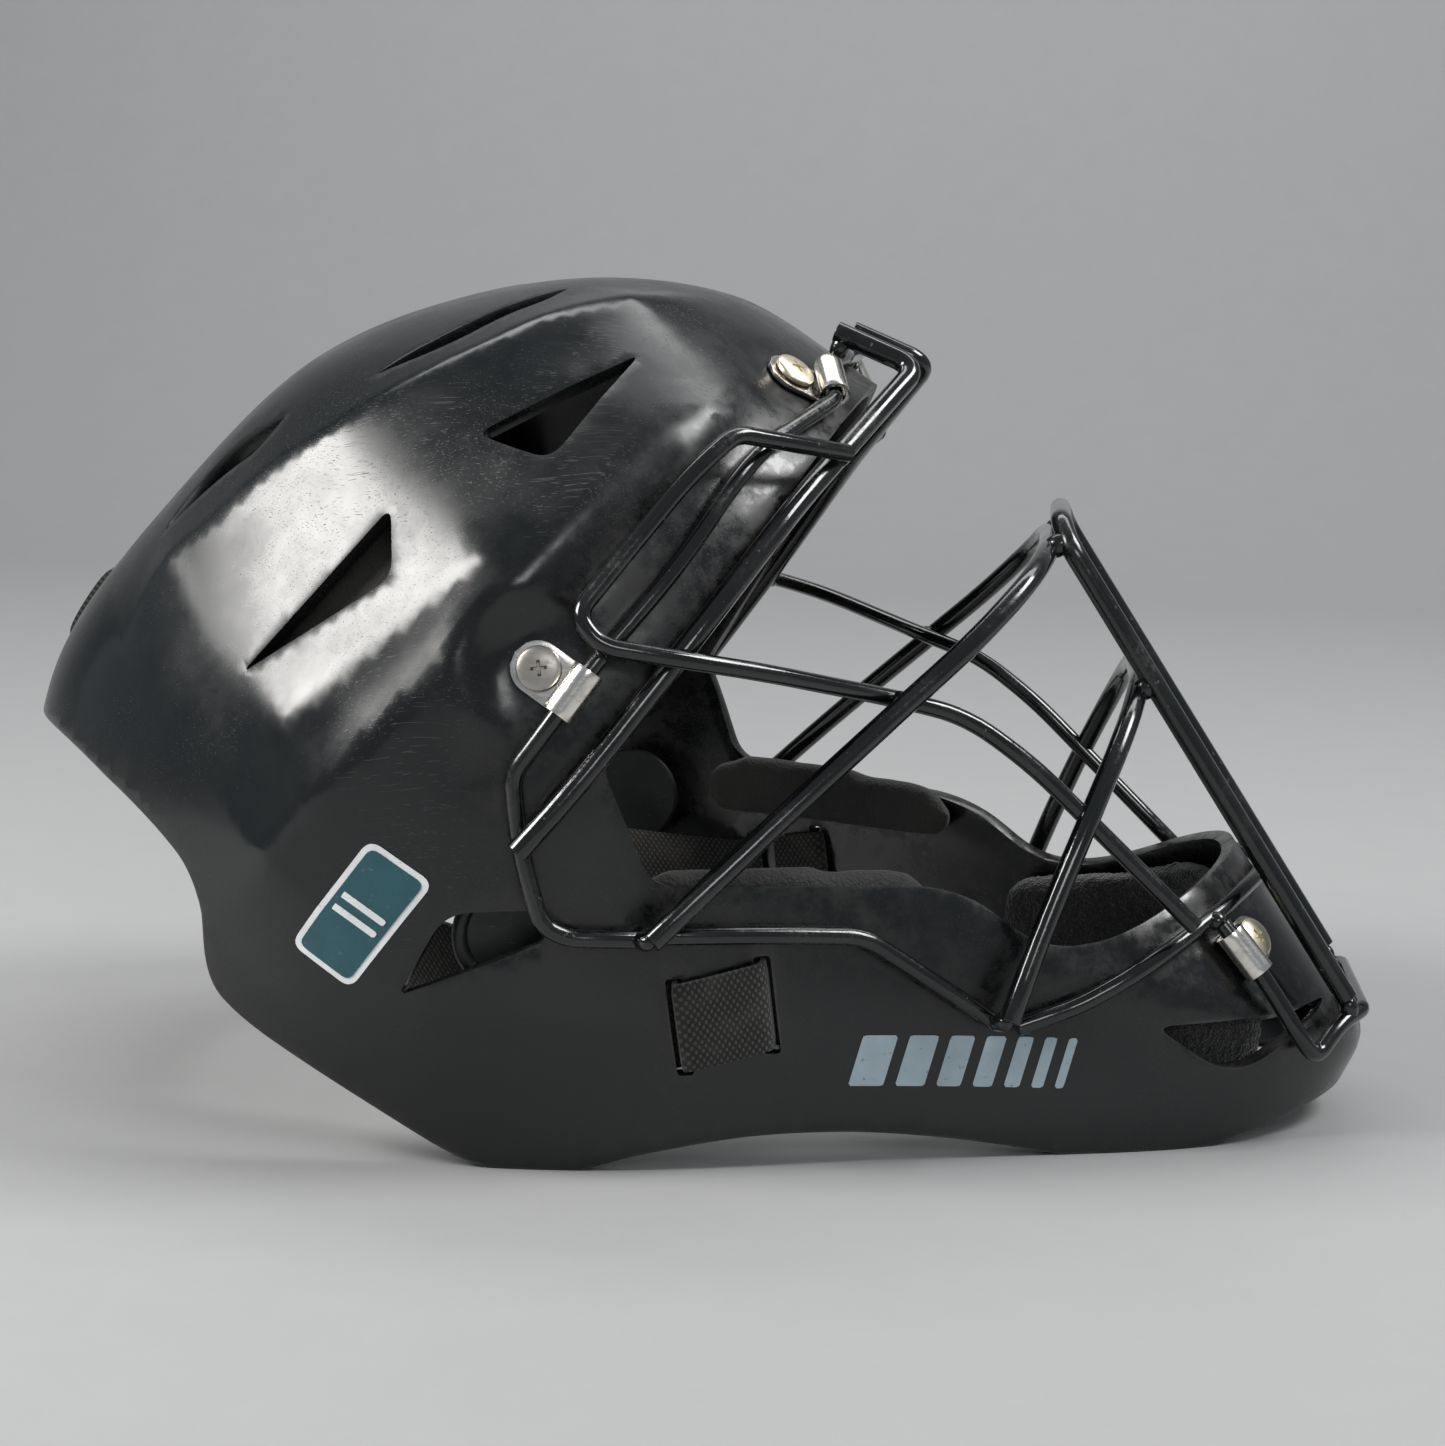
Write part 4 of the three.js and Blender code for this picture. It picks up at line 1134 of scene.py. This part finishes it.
for cad_node in ("forehead_pad", "crown_pad"):
    finish_pad(make_pad(cad_node), "foam", "foam", HELMET, cad_node)
for place, finish, voxel, cap in (("temple", "foam", 4.0, 2.5), ("side", "side_foam", 4.0, 2.5),
                                  ("jaw", "foam", 3.0, 1.2)):
    right = make_pad(f"{place}_pad_right", voxel, cap)
    left = moved_copy(right, f"soft_{place}_pad_left", MIRROR)
    for side, pad in (("right", right), ("left", left)):
        finish_pad(pad, finish, "foam", HELMET, f"{place}_pad_{side}")
chin_pad = make_pad("chin_pad", 3.5, 3.0, 2)
pile = bpy.data.textures.new("pile", "CLOUDS")
pile.noise_scale = 0.0012
pile.noise_depth = 2
modify(chin_pad, "DISPLACE", texture=pile, texture_coords="LOCAL", strength=0.0011, mid_level=0.7)
finish_pad(chin_pad, "terry", "terry_cloth", HELMET, "chin_pad")


# ------------------------------------------------------------------ rear plate and its pad
PLATE = {"radius": 95.0, "thickness": 3.0, "half_angle": 0.56, "height": 62.0, "tilt": 0.3,
         "x": -95.0, "z": 64.0}
plate_place = (Matrix.Diagonal((MM, MM, MM, 1)) @ Matrix.Translation((PLATE["x"], 0, PLATE["z"]))
               @ Matrix.Rotation(-PLATE["tilt"], 4, "Y"))


def make_plate():
    """A curved plate with rounded corners, strap slots and a raised border."""
    half = PLATE["half_angle"] * PLATE["radius"]
    up = PLATE["height"] / 2
    outline = rounded([(-half, -up, 14), (half, -up, 14), (half, up, 14), (-half, up, 14)], 0.8)
    cuts = [rounded([(-11, 23.3, 1.4), (11, 23.3, 1.4), (11, 26.7, 1.4), (-11, 26.7, 1.4)], 0.6)]
    for side in (-1, 1):
        cuts.append(rounded([(side * 44, -9, 1.2), (side * 47, -9, 1.2), (side * 47, 9, 1.2),
                             (side * 44, 9, 1.2)], 0.6))
    lines = [np.vstack([o, o[:1]]) for o in (outline, *cuts)]

    def inside(points):
        keep = within(points, outline)
        for cut in cuts:
            keep &= ~within(points, cut)
        return keep

    flat, faces = net([resampled(line, 1.6) for line in lines], 2.6, inside)
    angle = flat[:, 0] / PLATE["radius"]
    rim_gap, _ = nearest(flat, outline)
    radius = PLATE["radius"] - 0.3 - 0.5 * smoothstep(rim_gap, 3.5, 6.5)
    points = np.stack([PLATE["radius"] - radius * np.cos(angle), radius * np.sin(angle), flat[:, 1]], axis=1)
    plate = piece_from("occipital_plate", points, faces)
    outwards_again(plate)
    if sum(p.normal.x for p in plate.data.polygons) > 0:
        plate.data.flip_normals()
    modify(plate, "SOLIDIFY", thickness=(PLATE["thickness"] - 0.8) * MM, offset=-1, use_even_offset=True)
    soften(plate, 0.5, 55)
    plate.data.transform(plate_place @ Matrix.Diagonal((1 / MM, 1 / MM, 1 / MM, 1)))
    smooth(plate)
    return finished(plate, REAR, FINISH["plastic"], "trim_plastic", "back_plate")


make_plate()
finish_pad(make_pad("back_pad", 3.5, 1.2), "foam", "foam", REAR, "back_pad")


# ------------------------------------------------------------------ webbing
def make_band(name, centres, wide, width, thickness):
    """Flat elastic along a line, with rounded selvedges and its own UV in millimetres."""
    centres = [Vector(c) for c in smooth_line([tuple(c) for c in centres], 1.3)]
    wide = Vector(wide).normalized()
    ring = [(-0.5 + k / 9, 1) for k in range(10)] + [(0.5 - k / 9, -1) for k in range(10)]
    points, travelled = [], [0.0]
    for before, after in zip(centres, centres[1:]):
        travelled.append(travelled[-1] + (after - before).length)
    for i, centre in enumerate(centres):
        ahead = centres[min(i + 1, len(centres) - 1)] - centres[max(i - 1, 0)]
        through = ahead.cross(wide).normalized()
        for u, v in ring:
            plump = 0.5 * thickness * (1 if abs(u) < 0.45 else 0.62)
            points.append(centre + wide * width * u + through * v * plump)
    count = len(ring)
    faces = strip_faces(len(centres), count, closed=True)
    faces.append(tuple(reversed(range(count))))
    faces.append(tuple((len(centres) - 1) * count + k for k in range(count)))
    band = piece_from(name, points, faces)
    uv = band.data.uv_layers.new(name="band")
    for polygon in band.data.polygons:
        for loop in polygon.loop_indices:
            row, column = divmod(band.data.loops[loop].vertex_index, count)
            uv.data[loop].uv = (ring[column][0] * width, travelled[row])
    choose(band)
    bpy.ops.object.mode_set(mode="EDIT")
    bpy.ops.mesh.select_all(action="SELECT")
    bpy.ops.mesh.normals_make_consistent(inside=False)
    bpy.ops.object.mode_set(mode="OBJECT")
    smooth(band, 60)
    return band


def slot_point(at, forward, depth):
    x, z = at[0] + forward, at[1] + forward * 0.22
    point = side_point(x, z)
    return Vector(point) + Vector((0, -depth, 0))


slot_up = SLOT["length"] / 2
slot_top = Vector(side_point(REAR_SLOT[0] - SLOT["lean"] * slot_up, REAR_SLOT[1] + slot_up))
slot_foot = Vector(side_point(REAR_SLOT[0] + SLOT["lean"] * slot_up, REAR_SLOT[1] - slot_up))
strap_down = slot_foot - slot_top
half_band = WEBBING["thickness"] / 2
inner_depth = -(WALL + 2 + half_band)
outer_depth = 2 * GAP + half_band
SIDE_STRAP = [
    Vector((PLATE["x"] + 12.5, -53.5, 44)), Vector((-70, -64, 43)),
    slot_point(REAR_SLOT, -8, inner_depth), slot_point(REAR_SLOT, -1.2, inner_depth),
    slot_point(REAR_SLOT, 0, inner_depth + 1.2), slot_point(REAR_SLOT, 0, 0.5),
    slot_point(REAR_SLOT, 1.1, outer_depth), slot_point(REAR_SLOT, 9, outer_depth),
    slot_point(FRONT_SLOT, -1.1, outer_depth), slot_point(FRONT_SLOT, 0, 0.5),
    slot_point(FRONT_SLOT, 0, inner_depth), slot_point(FRONT_SLOT, -1.2, inner_depth - 1.2),
    slot_point(FRONT_SLOT, -13, inner_depth - 1.2),
]
strap_right = make_band("elastic_side_right", SIDE_STRAP, strap_down, WEBBING["width"], WEBBING["thickness"])
strap_left = moved_copy(strap_right, "elastic_side_left", MIRROR)
for side, strap in (("right", strap_right), ("left", strap_left)):
    strap.data.materials.append(FINISH["webbing"])
    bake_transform(strap)
    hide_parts(f"side_strap_{side}")


def make_snap():
    """The round press-stud boss of the side strap, seen through the ear vent."""
    spot = Vector(side_point(-29, 52.5)) + Vector((0, 10.5, 0))
    lean = Matrix.Rotation(math.radians(90), 4, "X") @ Matrix.Rotation(math.radians(12), 4, "Y")
    bpy.ops.object.select_all(action="DESELECT")
    bpy.ops.mesh.primitive_cylinder_add(vertices=48, radius=12.5, depth=2.2)
    boss = bpy.context.object
    bpy.ops.mesh.primitive_torus_add(major_radius=11, minor_radius=1.7, major_segments=48, minor_segments=14)
    ring = bpy.context.object
    ring.location = (0, 0, 1.2)
    settle(ring)
    boss.select_set(True)
    ring.select_set(True)
    bpy.context.view_layer.objects.active = boss
    bpy.ops.object.join()
    boss.name = "strap_boss_right"
    boss.data.transform(Matrix.Diagonal((MM, MM, MM, 1)) @ Matrix.Translation(spot) @ lean)
    smooth(boss, 40)
    return boss


boss_right = make_snap()
for boss in (boss_right, moved_copy(boss_right, "strap_boss_left", MIRROR)):
    finished(boss, HELMET, FINISH["plastic"], "trim_plastic")

anchor_along = (ANCHOR_HIGH - ANCHOR_LOW).normalized()
anchor_out = Vector((-anchor_along.z, 0, anchor_along.x))
CROSSWAYS = (0, 1, 0)


def anchor_point(at, along, out):
    return at + anchor_along * along + anchor_out * out


loop = make_band("elastic_anchor_loop", [
    anchor_point(ANCHOR_LOW, 0, -6.5), anchor_point(ANCHOR_LOW, 0, -0.5),
    anchor_point(ANCHOR_LOW, 1.4, 2.2), anchor_point(ANCHOR_HIGH, -1.4, 2.2),
    anchor_point(ANCHOR_HIGH, 0, -0.5), anchor_point(ANCHOR_HIGH, 0, -6.5),
], CROSSWAYS, WEBBING["width"], WEBBING["thickness"])
finished(loop, HELMET, FINISH["webbing"], "webbing", "anchor_loop")
top_strap = make_band("elastic_top_strap", [
    anchor_point(ANCHOR_LOW, 0, -8), (-140.5, 0, 96.7), (-112, 0, 92.5), (-107.5, 0, 89.5),
], CROSSWAYS, WEBBING["width"], WEBBING["thickness"])
finished(top_strap, REAR, FINISH["webbing"], "webbing", "top_strap")


def make_slider():
    """A flat slider: a rounded frame with one opening through it."""
    fall = math.atan2(97 - 92.5, 143 - 112)
    bpy.ops.object.select_all(action="DESELECT")
    bpy.ops.mesh.primitive_cube_add(size=1)
    slider = bpy.context.object
    slider.name = "webbing_slider"
    slider.scale = (12 * MM, (WEBBING["width"] + 8) * MM, 4.6 * MM)
    settle(slider)
    bpy.ops.mesh.primitive_cube_add(size=1)
    opening = bpy.context.object
    opening.scale = (20 * MM, (WEBBING["width"] + 1.2) * MM, (WEBBING["thickness"] + 2 * GAP) * MM)
    settle(opening)
    modify(slider, "BEVEL", width=1.1 * MM, segments=3)
    modify(slider, "BOOLEAN", operation="DIFFERENCE", object=opening, solver="EXACT")
    bpy.data.objects.remove(opening)
    height = 97 - 15 * math.tan(fall)
    slider.data.transform(Matrix.Translation((-128 * MM, 0, height * MM)) @ Matrix.Rotation(fall, 4, "Y"))
    smooth(slider, 35)
    return finished(slider, REAR, FINISH["plastic"], "trim_plastic", "strap_slider")


make_slider()


# ------------------------------------------------------------------ plain label and printed bars
def film(name, outlines, place, lift, finish, spacing=1.0):
    """Thin film lying on the shell. place turns its own flat millimetres into side-view ones."""
    outlines = [rounded(o, 0.5) for o in outlines]

    def inside(points):
        keep = np.zeros(len(points), bool)
        for outline in outlines:
            keep |= within(points, outline)
        return keep

    lines = [resampled(np.vstack([o, o[:1]]), 0.8) for o in outlines]
    flat, faces = net(lines, spacing, inside)
    side_view = place(flat)
    points = skin(side_view[:, 0], side_view[:, 1], lift)
    piece = piece_from(name, points, faces)
    outwards_again(piece)
    if sum(p.normal.y for p in piece.data.polygons) > 0:
        piece.data.flip_normals()
    modify(piece, "SOLIDIFY", thickness=0.06 * MM, offset=-1)
    smooth(piece, 40)
    return finished(piece, HELMET, FINISH[finish], "shell_plastic")


LABEL = {"corner": np.array([-56.7, 73.7]), "across": np.array([-43.3, 65.0]),
           "down": np.array([-75.2, 49.2])}
label_size = (np.linalg.norm(LABEL["across"] - LABEL["corner"]),
                np.linalg.norm(LABEL["down"] - LABEL["corner"]))


def on_label(flat):
    u = (LABEL["across"] - LABEL["corner"]) / label_size[0]
    v = (LABEL["down"] - LABEL["corner"]) / label_size[1]
    return LABEL["corner"] + flat[:, :1] * u + flat[:, 1:] * v


wide, tall = label_size
edge, stripe = 1.3, 1.5
right, foot = wide - edge, tall - edge
film("label_border", [[(0, 0, 3), (wide, 0, 3), (wide, tall, 3), (0, tall, 3)]], on_label, 0.18, "white")
film("label_field", [[(edge, edge, 2), (right, edge, 2), (right, foot, 2), (edge, foot, 2)]],
     on_label, 0.32, "teal")
stripes = [[(2 * edge, top), (wide - 2 * edge, top), (wide - 2 * edge, top + stripe), (2 * edge, top + stripe)]
           for top in (tall * 0.42, tall * 0.53)]
film("label_stripes", stripes, on_label, 0.46, "white")


def on_jaw(flat):
    """Along the lower jaw: across from x = 44, up from a line that falls slightly forward."""
    return np.stack([44 + flat[:, 0], 18 - flat[:, 0] * 0.055 + flat[:, 1]], axis=1)


BAR = {"widths": (7.6, 6.4, 5.4, 4.4, 3.5, 2.7, 2.0), "gap": 2.6, "height": 11.5, "slant": 3.0, "corner": 0.6}
bars = []
left = 0.0
for bar_width in BAR["widths"]:
    foot_line = ((left, 0), (left + bar_width, 0))
    top_line = ((x + BAR["slant"], BAR["height"]) for x, _ in reversed(foot_line))
    bars.append([(*corner, BAR["corner"]) for corner in (*foot_line, *top_line)])
    left += bar_width + BAR["gap"]
film("printed_bars", bars, on_jaw, 0.15, "ink", 1.4)


# ------------------------------------------------------------------ floor, light and camera
def make_sweep():
    """A pale sheet that lies flat and curves up far behind the mask."""
    profile = [(-2.5, 0), (1.4, 0)]
    bend = 0.9
    profile += [(1.4 + bend * math.sin(a), bend - bend * math.cos(a))
                for a in np.linspace(0.1, math.pi / 2, 14)]
    profile += [(2.3, 4.0)]
    points = [(x * 1000, y * 1000, z * 1000 - 0.05) for y, z in profile for x in (-4.0, 4.0)]
    sweep = piece_from("studio_sweep", points, strip_faces(len(profile), 2))
    smooth(sweep)
    material, tree, shader, place = new_finish("pale_paper")
    at = place.outputs["Object"]
    colour = blended(tree, noise(tree, at, 40.0, 6.0, 0.7), (0.34, 0.34, 0.342), (0.37, 0.37, 0.37))
    painted(tree, shader, colour, 0.55)
    dented(tree, shader, noise(tree, at, 500.0, 4.0), 0.1, 0.0005)
    sweep.data.materials.append(material)
    return sweep


def soft_light(name, at, aim, size, power, tint=(1, 1, 1)):
    light = bpy.data.lights.new(name, "AREA")
    light.shape = "RECTANGLE"
    light.size, light.size_y = size
    light.energy = power
    light.color = tint
    lamp = bpy.data.objects.new(name, light)
    bpy.context.scene.collection.objects.link(lamp)
    lamp.location = at
    lamp.rotation_mode = "QUATERNION"
    lamp.rotation_quaternion = (Vector(aim) - Vector(at)).to_track_quat("-Z", "Y")


make_sweep()
soft_light("left_softbox", (-0.98, -0.46, 0.82), (-0.05, -0.05, 0.12), (0.6, 0.5), 19, (1, 0.985, 0.96))
soft_light("right_softbox", (0.95, 0.05, 1.15), (0.05, -0.05, 0.12), (0.6, 0.5), 14)
soft_light("front_fill", (0.7, -1.7, 0.9), (0, 0, 0.1), (0.7, 0.4), 5)
soft_light("backdrop_glow", (0, 0.9, 2.0), (0, 1.8, 0.2), (2.4, 0.8), 24)

world = bpy.data.worlds.new("studio") if bpy.context.scene.world is None else bpy.context.scene.world
bpy.context.scene.world = world
world.use_nodes = True
world.node_tree.nodes["Background"].inputs["Color"].default_value = (0.56, 0.62, 0.67, 1)
world.node_tree.nodes["Background"].inputs["Strength"].default_value = 0.42

camera_data = bpy.data.cameras.new("camera")
camera_data.lens = 79.72
camera_data.sensor_width = 36
camera_data.dof.use_dof = False
camera = bpy.data.objects.new("camera", camera_data)
bpy.context.scene.collection.objects.link(camera)
camera_axes = Matrix(((0.99446, -0.04168, 0.09655), (0.10103, 0.12370, -0.98717),
                      (0.02920, 0.99144, 0.12723)))
camera.matrix_world = Matrix.Translation((0.08157, -0.77611, 0.18701)) @ camera_axes.to_4x4()
bpy.context.scene.camera = camera
bpy.context.scene.view_settings.view_transform = "Standard"
